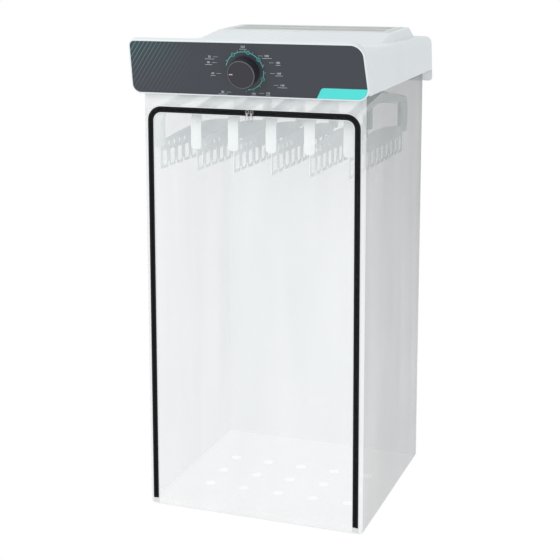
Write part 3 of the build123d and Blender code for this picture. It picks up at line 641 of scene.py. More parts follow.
@made_once
def milky_film(name, colour, density, outer_shade=None, hem_density=None, swing=0.045, shadow=0.16):
    """Translucent film: mottled haze, soft creases with painted shade along them, and its own share
    of a full shadow.

    A wall with an outer shade colour has its outer face painted dark as painted shade; it is
    clearer towards the front and milkier towards the rear.
    """
    material, tree, shader, place = new_material(name)
    cloud = noise_node(tree, place, CLOUD_SCALE)
    streak = noise_node(tree, mapping_node(tree, place, Scale=STREAK_STRETCH), STREAK_SCALE)
    parts = add_node(tree, "ShaderNodeSeparateXYZ", {"Vector": place}).outputs
    haze = map_range(tree, cloud, 0.15, 0.85, density - swing, density + swing)
    if hem_density is not None:
        more = hem_density - density
        hem = map_range(tree, parts["Z"], ZIP_TOP, BAG_TOP - HEM_REACH, 0.0, more)
        haze = math_node(tree, "ADD", haze, hem, clamp=True)
    body = rgba(colour)
    # Painted shade and light: the outer face takes the dark outer shade colour, and the inner face
    # the lighter film colour
    if outer_shade is not None:
        inner_face = tree.nodes.new("ShaderNodeNewGeometry").outputs["Backfacing"]
        body = colour_mix(tree, inner_face, rgba(outer_shade), rgba(colour))
        rearward = map_range(tree, parts["Y"], BAG_FRONT, BAG_REAR, -0.05, 0.07)
        haze = math_node(tree, "ADD", haze, rearward, clamp=True)
    shadow_ray = tree.nodes.new("ShaderNodeLightPath").outputs["Is Shadow Ray"]
    thinner = map_range(tree, shadow_ray, 0.0, 1.0, 1.0, shadow)
    # Painted shade: the streaks darken the film towards a grey tint, for the shade in its folds
    painted_fold_shade = map_range(tree, streak, 0.32, 0.68, 0.0, 0.22)
    look = {
        "Base Color": colour_mix(tree, painted_fold_shade, body, FOLD_SHADE_TINT),
        "Roughness": map_range(tree, cloud, 0.2, 0.8, 0.26, 0.36),
        "Alpha": math_node(tree, "MULTIPLY", haze, thinner, clamp=True),
        "Normal": bump_node(tree, streak, 0.15, 0.004),
    }
    feed(tree, shader, look)
    return material


@made_once
def pinstriped_panel(name, colour, accent):
    """Satin panel plate with fine slanted pinstripes that fade out from its left end."""
    material, tree, shader, place = new_material(name)
    turned = mapping_node(tree, place, Rotation=(0.0, STRIPE_SLANT, 0.0))
    stripe = bands_node(tree, "X", {"Vector": turned, "Scale": STRIPE_SCALE, "Distortion": 0.0})
    line = map_range(tree, stripe, 0.88, 0.97, 0.0, 1.0)
    parts = add_node(tree, "ShaderNodeSeparateXYZ", {"Vector": place}).outputs
    fade = map_range(tree, parts["X"], *STRIPE_FADE, 0.36, 0.0)
    rise = map_range(tree, parts["Z"], -0.05, 0.07, 0.25, 1.0)
    mask = math_node(tree, "MULTIPLY", line, fade)
    mask = math_node(tree, "MULTIPLY", mask, rise, clamp=True)
    ink = map_range(tree, parts["Z"], -0.03, 0.06, 0.0, 1.0)
    inks = colour_mix(tree, ink, STRIPE_GREY, rgba(accent))
    values = {
        "Vector": place,
        "Colour": colour_mix(tree, mask, rgba(colour), inks),
        "Roughness": 0.42,
        "Grain Depth": 0.06,
        "Mottle": 0.08,
    }
    coat(tree, shader, shared_group(tree, moulded_group, "moulded_surface", values))
    return material


def dress(material, *nodes):
    """Gives CAD nodes a finish."""
    for name in nodes:
        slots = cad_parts[name].data.materials
        slots.clear()
        slots.append(material)


# Mesh helpers


def finish_mesh(name, bm, materials, body, smooth_angle, recalc=True):
    """A named object from a bmesh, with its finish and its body."""
    if recalc:
        bmesh.ops.recalc_face_normals(bm, faces=bm.faces)
    for face in bm.faces:
        face.smooth = True
    mesh = bpy.data.meshes.new(name)
    bm.to_mesh(mesh)
    bm.free()
    mesh.set_sharp_from_angle(angle=math.radians(smooth_angle))
    for material in materials:
        mesh.materials.append(material)
    piece = bpy.data.objects.new(name, mesh)
    bpy.context.scene.collection.objects.link(piece)
    if body:
        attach(piece, body)
    return piece


def add_part(bm, part):
    """Moves the contents of one bmesh into another."""
    mesh = bpy.data.meshes.new("part")
    part.to_mesh(mesh)
    part.free()
    bm.from_mesh(mesh)
    bpy.data.meshes.remove(mesh)


def new_verts(made):
    """The vertices among what an operator made."""
    return [item for item in made["geom"] if isinstance(item, bmesh.types.BMVert)]


def unique(items):
    """Each item once, in the order in which it first comes."""
    return list(dict.fromkeys(items))


def bevel(bm, geom, radius, segments, affect="EDGES", **more):
    """Rounds edges or corners."""
    return bmesh.ops.bevel(
        bm,
        geom=geom,
        offset=radius,
        offset_type="OFFSET",
        segments=segments,
        affect=affect,
        profile=0.5,
        material=-1,
        **more,
    )


def add_block(bm, low, high, rounding=0.0):
    """A box between two corners, with rounded edges."""
    size = [b - a for a, b in zip(low, high)]
    centre = [(a + b) / 2 for a, b in zip(low, high)]
    made = bmesh.ops.create_cube(bm, size=1.0)["verts"]
    bmesh.ops.scale(bm, vec=size, verts=made)
    bmesh.ops.translate(bm, vec=centre, verts=made)
    if rounding:
        bevel(bm, unique(edge for vert in made for edge in vert.link_edges), rounding, 2)


def rectangle(left, right, low, high):
    """A rectangle's corners on a plane, anticlockwise from the lower left."""
    return [(left, low), (right, low), (right, high), (left, high)]


def rounded_outline(bm, points, rounding, segments=6):
    """A flat face from its corners, with some corners rounded."""
    verts = [bm.verts.new(point) for point in points]
    bm.faces.new(verts)
    for radius in sorted(set(rounding.values())):
        corners = [verts[index] for index, value in rounding.items() if value == radius]
        bevel(bm, corners, radius, segments, "VERTICES")


def fill_outlines(bm):
    """Turns outlines into one flat sheet, with the inner outlines as holes."""
    bmesh.ops.delete(bm, geom=bm.faces[:], context="FACES_ONLY")
    bmesh.ops.triangle_fill(bm, use_beauty=True, use_dissolve=False, edges=bm.edges[:])


def thicken(bm, step):
    """Gives every flat face a thickness along one direction."""
    made = bmesh.ops.extrude_face_region(bm, geom=bm.faces[:])
    bmesh.ops.translate(bm, vec=step, verts=new_verts(made))


def cut_along(bm, geom, place, normal):
    """Cuts a mesh through at a plane, without taking anything away."""
    bmesh.ops.bisect_plane(bm, geom=geom, dist=SAME_PLACE, plane_co=place, plane_no=normal)


def cut_rows(bm, axis, places):
    """Cuts a mesh through at each place along one axis."""
    normal = Vector((0, 0, 0))
    normal[axis] = 1.0
    for place in places:
        cut_along(bm, bm.verts[:] + bm.edges[:] + bm.faces[:], normal * place, normal)


def steps(low, high, pitch):
    """Evenly spaced places strictly between two ends."""
    count = max(1, round((high - low) / pitch))
    return [low + (high - low) * index / count for index in range(1, count)]


def fall_off(distance, reach):
    """Rises smoothly from 0 at an edge to 1 further in."""
    share = min(1.0, max(0.0, distance / reach))
    return share * share * (3 - 2 * share)


# Head

# Slope of the dome's top, which rises 7 mm over its 187 mm
DOME_SLOPE = math.atan2(0.007, 0.187)

# Inlet grille: two rows of slots inside a lip, with lands round and between the rows
GRILLE_LIP = 0.006
GRILLE_LAND = 0.012
GRILLE_CORNER = 0.004
GRILLE_THICKNESS = 0.0014
GRILLE_PITCH = 0.0052
GRILLE_OPENING = 0.0025

# Painted light: the rear plate is a lighter copy of the cover's white, to make up for the shade it
# sits in under the cover
REAR_PLATE_LIT_COLOUR = (0.93, 0.955, 0.965)


class DRYER_OT_head(bpy.types.Operator):
    """Gives the moulded head its finishes"""

    bl_idname = "dryer.head"
    bl_label = "Head"

    def fine_grille(self):
        """The air inlet's plate with two rows of fine slots, laid on the dome's sloping top."""
        low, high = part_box("inlet_grille")
        length = high.x - low.x
        width = (high.y - low.y) / math.cos(DOME_SLOPE)
        bm = bmesh.new()
        plate = rectangle(-length / 2, length / 2, -width / 2, width / 2)
        rounding = dict.fromkeys(range(4), GRILLE_CORNER)
        rounded_outline(bm, [(x, y, 0) for x, y in plate], rounding, 4)
        row = (width - 2 * GRILLE_LIP - 3 * GRILLE_LAND) / 2
        count = int((length - 2 * GRILLE_LIP - 2 * GRILLE_LAND) / GRILLE_PITCH)
        half = GRILLE_OPENING / 2
        rounding = dict.fromkeys(range(4), half * 0.95)
        for side in (-1, 1):
            middle = side * (row + GRILLE_LAND) / 2
            for place in range(count):
                x = (place - (count - 1) / 2) * GRILLE_PITCH
                slot = rectangle(x - half, x + half, middle - row / 2, middle + row / 2)
                rounded_outline(bm, [(a, b, 0) for a, b in slot], rounding, 2)
        fill_outlines(bm)
        thicken(bm, (0, 0, GRILLE_THICKNESS))
        tilt = Matrix.Rotation(DOME_SLOPE, 4, "X")
        centre = Matrix.Translation((0, (low.y + high.y) / 2, (low.z + high.z) / 2))
        bmesh.ops.transform(bm, matrix=centre @ tilt, verts=bm.verts)
        lift = high.z - max(vert.co.z for vert in bm.verts)
        bmesh.ops.translate(bm, vec=(0, 0, lift), verts=bm.verts)
        return bm

    def execute(self, context):
        look = context.scene.dryer_head
        smooth = {"grain": 700, "depth": 0.04, "mottle": 0.03}
        white = plastic("white_plastic", look.cover_colour, 0.3, **smooth)
        dress(white, "top_cover", "front_fascia", "base_tray")
        # The rear plate gets the lighter copy of the white, as painted light
        dress(plastic("plate_plastic", REAR_PLATE_LIT_COLOUR, 0.3, **smooth), "rear_plate")
        grille = plastic("grille_plastic", look.grille_colour, 0.45, grain=800, depth=0.08)
        dress(grille, "outlet_grille")
        bm = self.fine_grille()
        piece = finish_mesh("inlet_grille_fine", bm, [grille], "head", 30)
        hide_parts("inlet_grille")
        panel = pinstriped_panel("panel_plastic", look.panel_colour, look.accent_colour)
        dress(panel, "control_panel")
        accent = plastic("accent_plastic", look.accent_colour, 0.4, depth=0.05, mottle=0.04)
        dress(accent, "accent_strip")
        return {"FINISHED"}


class DRYER_OT_workings(bpy.types.Operator):
    """Gives the fan, heater, timer and wall bracket their finishes"""

    bl_idname = "dryer.workings"
    bl_label = "Workings"

    def execute(self, context):
        # name: colour, stain, amount of stain, roughness, the nodes that get it
        metals = {
            "zinc_steel": (
                ((0.60, 0.61, 0.62), (0.42, 0.43, 0.44), 0.5, 0.36),
                ("timer_shaft", "wall_bracket", "motor_bracket", "fan_shaft", "hanger_rail"),
            ),
            "duct_metal": (
                ((0.58, 0.59, 0.60), (0.45, 0.45, 0.45), 0.4, 0.3),
                ("fan_shroud",),
            ),
            "motor_metal": (
                ((0.22, 0.23, 0.24), (0.10, 0.09, 0.08), 0.6, 0.45),
                ("fan_motor",),
            ),
            "heater_metal": (
                ((0.40, 0.37, 0.34), (0.30, 0.18, 0.12), 0.8, 0.42),
                ("heater_frame", "heater_element"),
            ),
        }
        for name, (look, nodes) in metals.items():
            dress(metal(name, *look), *nodes)
        black = plastic("black_plastic", (0.028, 0.028, 0.03), 0.4, depth=0.1)
        dress(black, "thermostat", "cord_gland")
        dress(plastic("fan_plastic", (0.07, 0.07, 0.078), 0.38, depth=0.08), "fan_impeller")
        cream = plastic("cream_plastic", (0.70, 0.66, 0.56), 0.45, depth=0.08)
        dress(cream, "timer_switch", "thermal_fuse", "terminal_block")
        dress(woven("hem_elastic", (0.78, 0.78, 0.78), 180), "bag_hem_band")
        return {"FINISHED"}


# Knob and dial

# Heights of the knob above the panel, its bore, the rise of its face and its facets
KNOB_FOOT = 0.0011
KNOB_FACE = 0.0258
KNOB_CROWN = 0.0269
KNOB_BORE = 0.0031
KNOB_BORE_DEPTH = 0.010
KNOB_FACE_RISE = 0.0001
KNOB_STEPS = 96

# The knob's turned edge, from foot to face: how far inside its radius, and how high
KNOB_EDGE = (
    (0.0012, KNOB_FOOT),
    (0.0, KNOB_FOOT + 0.0012),
    (0.0, KNOB_FOOT + 0.0035),
    (0.0012, KNOB_CROWN - 0.0016),
    (0.0016, KNOB_CROWN - 0.0005),
    (0.0021, KNOB_CROWN),
    (0.0034, KNOB_CROWN),
    (0.0038, KNOB_CROWN - 0.0004),
    (0.0040, KNOB_FACE),
)

# Where the painted highlight runs, a pale band on the rim: how far inside the radius, and above
# what height
KNOB_HIGHLIGHT_BAND = (0.0014, 0.0036)
KNOB_HIGHLIGHT_FOOT = KNOB_FACE + 0.0003


class DRYER_OT_knob(bpy.types.Operator):
    """Turns the timer knob: drafted side, a thin pale rim band as painted highlight, and sunk face
    """

    bl_idname = "dryer.knob"
    bl_label = "Timer knob"

    def execute(self, context):
        look = context.scene.dryer_head
        radius = look.knob_radius
        profile = [(KNOB_BORE, KNOB_FOOT + KNOB_BORE_DEPTH), (KNOB_BORE, KNOB_FOOT)]
        profile += [(radius - inset, height) for inset, height in KNOB_EDGE]
        profile.append((0.0, KNOB_FACE + KNOB_FACE_RISE))
        bm = bmesh.new()
        verts = [bm.verts.new((across, 0, along)) for across, along in profile]
        edges = [bm.edges.new(pair) for pair in zip(verts, verts[1:])]
        bmesh.ops.spin(
            bm,
            geom=verts + edges,
            cent=(0, 0, 0),
            axis=(0, 0, 1),
            angle=math.tau,
            steps=KNOB_STEPS,
            use_merge=True,
        )
        bmesh.ops.remove_doubles(bm, verts=bm.verts, dist=SAME_PLACE)
        for face in bm.faces:
            middle = face.calc_center_median()
            on_highlight = KNOB_HIGHLIGHT_BAND[0] < radius - middle.xy.length < KNOB_HIGHLIGHT_BAND[1]
            if on_highlight and middle.z > KNOB_HIGHLIGHT_FOOT:
                face.material_index = 1
        bmesh.ops.transform(bm, matrix=KNOB_FRAME, verts=bm.verts)
        dark = plastic("knob_plastic", look.knob_colour, 0.36, depth=0.05, mottle=0.06)
        # The pale rim band is a painted highlight of the knob's turned edge
        pale = metal("knob_rim_metal", (0.17, 0.17, 0.19), (0.12, 0.12, 0.14), 0.3, 0.34)
        piece = finish_mesh("timer_knob_turned", bm, [dark, pale], "knob", 35)
        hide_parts("timer_knob")
        dress(plastic("pointer_plastic", (0.5, 0.53, 0.54), 0.4, depth=0.05), "knob_marker")
        return {"FINISHED"}


# The dial's print. Angles are in degrees, clockwise from twelve o'clock.
DIAL_ARCS = ((-75, -38), (-28, 10), (22, 46), (57, 78), (88, 108), (120, 176))
DIAL_ARC_WIDTH = 0.0011
DIAL_RINGED = {-33: "1", 16: "2", 52: "3", 114: "4"}
DIAL_RINGED_RADIUS = 0.0042
DIAL_RINGED_SIZE = 0.0056
DIAL_TICKS = [-60 + 22 * step for step in range(12)]
DIAL_TICK_GAP = 9
DIAL_TICK_REACH = (0.0022, 0.0048)
DIAL_LINE = 0.0007
DIAL_LEADER = 0.0005
DIAL_LEADER_REACH = (0.0095, 0.0215)
DIAL_NUMBER_SIZE = 0.0072
DIAL_RULE_DROP = 0.0056
PRINT_HEIGHT = 0.00008

DIAL_LABELS = (
    # minutes, across and up from the knob's centre in millimetres, and the side of its leader
    ("20", -86, 33, 1),
    ("40", -90, 19, 1),
    ("60", -82, -8, 1),
    ("80", -62, -54, 1),
    ("100", 16, -56, 0),
    ("120", 52, -54, -1),
    ("140", 90, -33, -1),
    ("160", 84, -4, -1),
    ("180", 84, 22, -1),
    ("200", 58, 38, -1),
    ("220", 1, 59, 0),
)


def flat_arc(bm, radius, width, start, sweep, count):
    """A flat arc on the panel's plane."""
    turn = Matrix.Rotation(-math.radians(start), 4, "Z")
    ends = [turn @ Vector((0, radius + side * width / 2, 0)) for side in (-1, 1)]
    verts = [bm.verts.new(end) for end in ends]
    edge = bm.edges.new(verts)
    bmesh.ops.spin(
        bm,
        geom=verts + [edge],
        cent=(0, 0, 0),
        axis=(0, 0, -1),
        angle=math.radians(sweep),
        steps=count,
        use_merge=sweep >= 360,
    )


def add_numeral(bm, text, size, across, up):
    """Adds one flat number, centred on a place on the panel's plane."""
    curve = bpy.data.curves.new("numeral", "FONT")
    curve.body = text
    curve.size = size
    curve.align_x = "CENTER"
    curve.align_y = "CENTER"
    curve.resolution_u = 3
    holder = bpy.data.objects.new("numeral", curve)
    bpy.context.scene.collection.objects.link(holder)
    mesh = bpy.data.meshes.new_from_object(holder)
    part = bmesh.new()
    part.from_mesh(mesh)
    bpy.data.objects.remove(holder)
    bpy.data.curves.remove(curve)
    bpy.data.meshes.remove(mesh)
    bmesh.ops.translate(part, vec=(across, up, 0), verts=part.verts)
    add_part(bm, part)


def add_bar(bm, start, end, width):
    """A flat straight line on the panel's plane."""
    start, end = Vector(start), Vector(end)
    along = (end - start).normalized()
    side = Vector((-along.y, along.x)) * width / 2
    corners = [start + side, start - side, end - side, end + side]
    bm.faces.new([bm.verts.new((corner.x, corner.y, 0)) for corner in corners])


def printed(name, bm, material):
    """Lays flat print on the panel's face, a film's thickness deep."""
    bmesh.ops.recalc_face_normals(bm, faces=bm.faces)
    for face in bm.faces:
        if face.normal.z < 0:
            face.normal_flip()
    thicken(bm, (0, 0, PRINT_HEIGHT))
    on_face = KNOB_FRAME @ Matrix.Translation((0, 0, -PANEL_FACE_DEPTH))
    bmesh.ops.transform(bm, matrix=on_face, verts=bm.verts)
    return finish_mesh(name, bm, [material], "head", 30)


class DRYER_OT_dial(bpy.types.Operator):
    """Prints the dial: ring, ticks, ringed numerals and plain minutes"""

    bl_idname = "dryer.dial"
    bl_label = "Dial print"

    def ring(self, radius):
        """The broken ring, with a ringed numeral in four of its gaps."""
        bm = bmesh.new()
        for start, end in DIAL_ARCS:
            flat_arc(bm, radius, DIAL_ARC_WIDTH, start, end - start, max(4, int((end - start) / 4)))
        for angle, text in DIAL_RINGED.items():
            spot = Matrix.Rotation(-math.radians(angle), 3, "Z") @ Vector((0, radius, 0))
            before = len(bm.verts)
            flat_arc(bm, DIAL_RINGED_RADIUS, DIAL_LINE, 0, 360, 28)
            bm.verts.ensure_lookup_table()
            bmesh.ops.translate(bm, vec=spot, verts=bm.verts[before:])
            add_numeral(bm, text, DIAL_RINGED_SIZE, spot.x, spot.y)
        return bm

    def numbers(self, radius):
        """The ticks outside the ring, and the minutes with their rules and leaders."""
        bm = bmesh.new()
        for tick in DIAL_TICKS:
            if all(abs(tick - taken) > DIAL_TICK_GAP for taken in DIAL_RINGED):
                angle = math.radians(tick)
                way = Vector((math.sin(angle), math.cos(angle)))
                inner, outer = (way * (radius + reach) for reach in DIAL_TICK_REACH)
                add_bar(bm, inner, outer, DIAL_LINE)
        for text, across, up, side in DIAL_LABELS:
            across, up = across / 1000, up / 1000
            add_numeral(bm, text, DIAL_NUMBER_SIZE, across, up)
            rule = 0.006 + 0.003 * (int(text) % 3)
            foot = up - DIAL_RULE_DROP
            add_bar(bm, (across - rule, foot), (across + rule, foot), DIAL_LINE)
            if side:
                start, end = (across + side * reach for reach in DIAL_LEADER_REACH)
                add_bar(bm, (start, up), (end, up), DIAL_LEADER)
        return bm

    def execute(self, context):
        look = context.scene.dryer_head
        teal = plastic("teal_print", look.accent_colour, 0.4, depth=0.03)
        pale = plastic("pale_print", look.print_colour, 0.42, depth=0.03)
        printed("dial_ring_print", self.ring(look.dial_radius), teal)
        printed("dial_numbers_print", self.numbers(look.dial_radius), pale)
        return {"FINISHED"}


# Film bag

# The shell: the rounding of its seams, the size of its cells, and its floor's vents
BAG_ROUNDING = 0.011
BAG_CELL = 0.024
VENT_PITCH = 4 * BAG_CELL
VENT_RADIUS = 0.014

# The doorway in the front film, whose edge lies under the zip's tape
DOOR_HALF = ZIP_HALF_TOP + FILM_UNDER_TAPE
DOOR_TOP = ZIP_TOP + FILM_UNDER_TAPE
DOOR_CORNER = ZIP_CORNER + FILM_UNDER_TAPE
DOOR_CORNER_CUTS = (11.25, 33.75, 56.25, 78.75)

# A point this close to a wall's plane is on that wall
ON_WALL = 0.001

# How far in from a held edge the folds reach their full depth
HELD_TOP = 0.16
HELD_FOOT = 0.05
HELD_SIDE = 0.05
HELD_FLOOR = 0.12
HELD_ZIP = 0.02
HELD_HEM = 0.03

# How far each wall stands out on the whole, and how far the floor sags, in fold depths
SIDE_BULGE = 0.5
REAR_BULGE = 0.4
FRONT_BULGE = 0.4
FLOOR_SAG = 0.9

# Depth of the folds above the doorway, as a share of the others' depth
FRONT_SHARE = 0.5

# The rear right corner's droop: where it starts in x, y and z, and how far it takes to grow
DROOP = ((0.16, 0.11), (-0.19, 0.12), (-0.13, 0.1))

# The flap: the size of its cells, its seam under the tape,
# how far in from its sides and foot it is free, and how far it lies behind the front
FLAP_CELL = 0.014
FLAP_SEAM = 0.004
FLAP_HELD_SIDE = 0.07
FLAP_HELD_FOOT = 0.06
FLAP_SET_BACK = 0.0005

# Its creases, each as start and end in (x, z), spread and height
FLAP_CREASES = (
    ((-0.09, -0.62), (-0.055, -0.98), 0.016, 0.0022),
    ((-0.20, -1.02), (-0.06, -0.72), 0.018, 0.0016),
    ((0.03, -0.80), (0.13, -1.05), 0.022, 0.0014),
    ((-0.12, -0.30), (-0.10, -0.60), 0.020, 0.0012),
    ((0.10, -0.42), (0.19, -0.66), 0.024, 0.0012),
)

# Painted light: the front film is a lighter copy of the film colour, to make up for the shade under
# the fascia
FRONT_FILM_LIT_COLOUR = (0.93, 0.95, 0.96)
# Painted light: the side walls' inner face is a lighter copy of the film colour, for the light
# inside the bag
SIDE_FILM_LIT_COLOUR = (0.93, 0.945, 0.95)


def flare(z):
    """How much wider the bag is at a height than at its top."""
    share = (BAG_TOP - z) / (BAG_TOP - BAG_FOOT)
    return 1 + share * (BAG_HALF_FOOT / BAG_HALF_TOP - 1)


def in_doorway(x, z):
    """True inside the doorway, with its two rounded upper corners."""
    across, up = abs(x) - (DOOR_HALF - DOOR_CORNER), z - (DOOR_TOP - DOOR_CORNER)
    if abs(x) > DOOR_HALF or z > DOOR_TOP or z < ZIP_FOOT:
        return False
    return not (across > 0 and up > 0 and math.hypot(across, up) > DOOR_CORNER)


def crease(x, z, start, end, width):
    """A soft ridge along a line on the film, from 0 to 1."""
    line = Vector(end) - Vector(start)
    along = (Vector((x, z)) - Vector(start)).dot(line) / line.length_squared
    near = Vector(start) + line * min(1.0, max(0.0, along))
    distance = (Vector((x, z)) - near).length
    return math.exp(-((distance / width) ** 2))


def side_fold(y, z, seed):
    """Long hanging folds of a wall, from about -2 to 2."""
    slow = noise.noise(Vector((y * 5.0, z * 1.3, seed)))
    fine = noise.noise(Vector((y * 13.0, z * 2.4, seed + 7)))
    return 1.5 * slow + 0.6 * fine


def film_index(normal):
    """Which of the bag's four films a face gets: front, side, rear or floor."""
    if abs(normal.x) > 0.93:
        return 1
    if normal.z < -0.6:
        return 3
    return 2 if normal.y > 0.5 else 0


class DRYER_OT_bag(bpy.types.Operator):
    """Hangs the film bag: one sagging shell with a doorway, and the flap in it"""

    bl_idname = "dryer.bag"
    bl_label = "Film bag"

    def front_faces(self, bm):
        """Each face of the shell's front, with its middle."""
        for face in bm.faces:
            middle = face.calc_center_median()
            if middle.y < BAG_FRONT + NEAR:
                yield face, middle

    def shell(self, look):
        """The bag's four walls and floor in one piece."""
        bm = bmesh.new()
        low = (-BAG_HALF_TOP, BAG_FRONT, BAG_FOOT)
        high = (BAG_HALF_TOP, BAG_REAR, BAG_TOP)
        add_block(bm, low, high)
        top = [face for face in bm.faces if face.calc_center_median().z > BAG_TOP - NEAR]
        bmesh.ops.delete(bm, geom=top, context="FACES_ONLY")
        seams = [edge for edge in bm.edges if len(edge.link_faces) == 2]
        bevel(bm, seams, BAG_ROUNDING, 4)
        columns = [BAG_CELL * index for index in range(-11, 12)]
        above = steps(DOOR_TOP, BAG_TOP, BAG_CELL)
        beside = steps(ZIP_FOOT, DOOR_TOP, BAG_CELL)
        cut_rows(bm, 0, columns + [-DOOR_HALF, DOOR_HALF])
        cut_rows(bm, 1, [BAG_MIDDLE_Y + column for column in columns])
        cut_rows(bm, 2, above + beside + [DOOR_TOP, ZIP_FOOT])
        for side in (-1, 1):
            for angle in DOOR_CORNER_CUTS:
                self.cut_corner(bm, side, math.radians(angle))
        inside = [face for face, middle in self.front_faces(bm) if in_doorway(middle.x, middle.z)]
        bmesh.ops.delete(bm, geom=inside, context="FACES")
        self.vents(bm)
        for vert in bm.verts:
            self.sag(vert, look)
        return bm

    def cut_corner(self, bm, side, angle):
        """One cut across an upper corner of the doorway, square to an angle."""
        reach = DOOR_CORNER + BAG_CELL
        faces = [
            face
            for face, middle in self.front_faces(bm)
            if abs(middle.x - side * DOOR_HALF) < reach and abs(middle.z - DOOR_TOP) < reach
        ]
        verts = unique(vert for face in faces for vert in face.verts)
        edges = unique(edge for face in faces for edge in face.edges)
        normal = Vector((side * math.cos(angle), 0, math.sin(angle)))
        centre = Vector((side * (DOOR_HALF - DOOR_CORNER), 0, DOOR_TOP - DOOR_CORNER))
        cut_along(bm, verts + edges + faces, centre + normal * DOOR_CORNER, normal)

    def vents(self, bm):
        """Round air vents in the floor, three rows of five."""
        centres = []
        for vert in bm.verts:
            across, along = vert.co.x / VENT_PITCH, (vert.co.y - BAG_MIDDLE_Y) / VENT_PITCH
            on_pitch = abs(across - round(across)) < 0.01 and abs(along - round(along)) < 0.01
            on_floor = vert.co.z < BAG_FOOT + NEAR
            if on_floor and on_pitch and abs(across) < 2.25 and abs(along) < 1.25:
                centres.append(vert)
        places = [centre.co.copy() for centre in centres]
        made = bevel(bm, centres, VENT_RADIUS, 5, "VERTICES")
        touched = unique(vert for face in made["faces"] for vert in face.verts)
        bmesh.ops.delete(bm, geom=made["faces"], context="FACES")
        rim = [vert for vert in touched if vert.is_valid]
        for place in places:
            turns = {}
            for vert in rim:
                way = vert.co - place
                if way.length < VENT_RADIUS + 1e-4:
                    turns[vert] = round(math.atan2(way.y, way.x), 3) % math.tau
            for index, vert in enumerate(sorted(turns, key=turns.get)):
                angle = index * math.tau / len(turns)
                vert.co = place + VENT_RADIUS * Vector((math.cos(angle), math.sin(angle), 0))

    def sag(self, vert, look):
        """Moves one point of the shell from the flat form to the hanging one."""
        x, y, z = vert.co
        depth = look.fold_depth
        side = 1 if x > 0 else -1
        top_hold = fall_off(BAG_TOP - z, HELD_TOP)
        foot_hold = fall_off(z - BAG_FOOT, HELD_FOOT)
        span_y = min(y - BAG_FRONT, BAG_REAR - y)
        span_x = BAG_HALF_TOP - abs(x)
        if span_x < ON_WALL:
            swell = side_fold(y, z, 3.0 * side)
            hold = top_hold * foot_hold * fall_off(span_y, HELD_SIDE)
            x += side * depth * hold * (SIDE_BULGE + swell)
        if y > BAG_REAR - ON_WALL:
            swell = side_fold(x, z, 11.0)
            hold = fall_off(span_x, HELD_SIDE)
            y += depth * top_hold * foot_hold * hold * (REAR_BULGE + swell)
        if y < BAG_FRONT + ON_WALL:
            swell = noise.noise(Vector((x * 14.0, z * 9.0, 4.0)))
            above = fall_off(z - ZIP_TOP - TAPE_REACH, HELD_ZIP)
            above *= fall_off(BAG_TOP - z, HELD_HEM)
            y -= depth * FRONT_SHARE * above * (FRONT_BULGE + swell)
        if z < BAG_FOOT + ON_WALL:
            z -= depth * FLOOR_SAG * fall_off(min(span_x, span_y), HELD_FLOOR)
        x *= flare(z)
        droop = [fall_off(at - start, reach) for at, (start, reach) in zip((x, y, z), DROOP)]
        z -= look.corner_droop * math.prod(droop)
        vert.co = (x, y, z)

    def flap(self, look):
        """The film inside the zip."""
        bm = bmesh.new()
        half_top = ZIP_HALF_TOP - FILM_UNDER_TAPE
        half_foot = ZIP_HALF_FOOT - FILM_UNDER_TAPE
        top = ZIP_TOP - FILM_UNDER_TAPE
        foot = FLAP_FOOT
        corner = ZIP_CORNER - FILM_UNDER_TAPE
        low_edge = [(-half_foot, 0, foot), (half_foot, 0, foot)]
        high_edge = [(half_top, 0, top), (-half_top, 0, top)]
        rounded_outline(bm, low_edge + high_edge, {2: corner, 3: corner})
        cut_rows(bm, 0, steps(-half_foot, half_foot, FLAP_CELL))
        cut_rows(bm, 2, steps(foot, top, FLAP_CELL))
        for vert in bm.verts:
            x, _, z = vert.co
            width = half_foot + (half_top - half_foot) * (z - foot) / (top - foot)
            inward = min(width - abs(x), top - z)
            hold = fall_off(inward - FLAP_SEAM, FLAP_HELD_SIDE)
            hold *= fall_off(z - foot, FLAP_HELD_FOOT)
            slow = noise.noise(Vector((x * 6.0, z * 3.0, 2.0)))
            wave = slow + 0.4 * noise.noise(Vector((x * 15, z * 8, 5.0)))
            ridge = sum(
                height * crease(x, z, start, end, spread)
                for start, end, spread, height in FLAP_CREASES
            )
            swell = look.fold_depth * (0.35 + 0.8 * wave) + ridge
            vert.co.y = BAG_FRONT + FLAP_SET_BACK - hold * swell
        return bm

    def hang_bag(self, look):
        """The shell, its films and its place under the head."""
        hem = {"hem_density": look.hem_density}
        # The side walls' outer face is painted dark as painted shade, and their inner face lighter
        # as painted light
        side_shade = {"outer_shade": look.side_shade_colour, "shadow": 1.0}
        films = [
            # The front film gets its lighter copy of the film colour, as painted light
            milky_film("front_film", FRONT_FILM_LIT_COLOUR, look.front_density, **hem),
            milky_film("side_film", SIDE_FILM_LIT_COLOUR, look.side_density, **side_shade),
            milky_film("rear_film", look.film_colour, look.rear_density),
            milky_film("floor_film", look.film_colour, look.floor_density, swing=0.01),
        ]
        bm = self.shell(look)
        bmesh.ops.recalc_face_normals(bm, faces=bm.faces)
        middle = Vector((0, BAG_MIDDLE_Y, (BAG_TOP + BAG_FOOT) / 2))
        outward = sum(face.normal.dot(face.calc_center_median() - middle) for face in bm.faces)
        if outward < 0:
            bmesh.ops.reverse_faces(bm, faces=bm.faces[:])
        for face in bm.faces:
            face.material_index = film_index(face.normal)
        piece = finish_mesh("film_bag", bm, films, "head", 60, recalc=False)
        walls = ("bag_front_surround", "bag_left_wall", "bag_right_wall", "bag_rear_wall")
        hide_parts(*walls, "bag_floor")

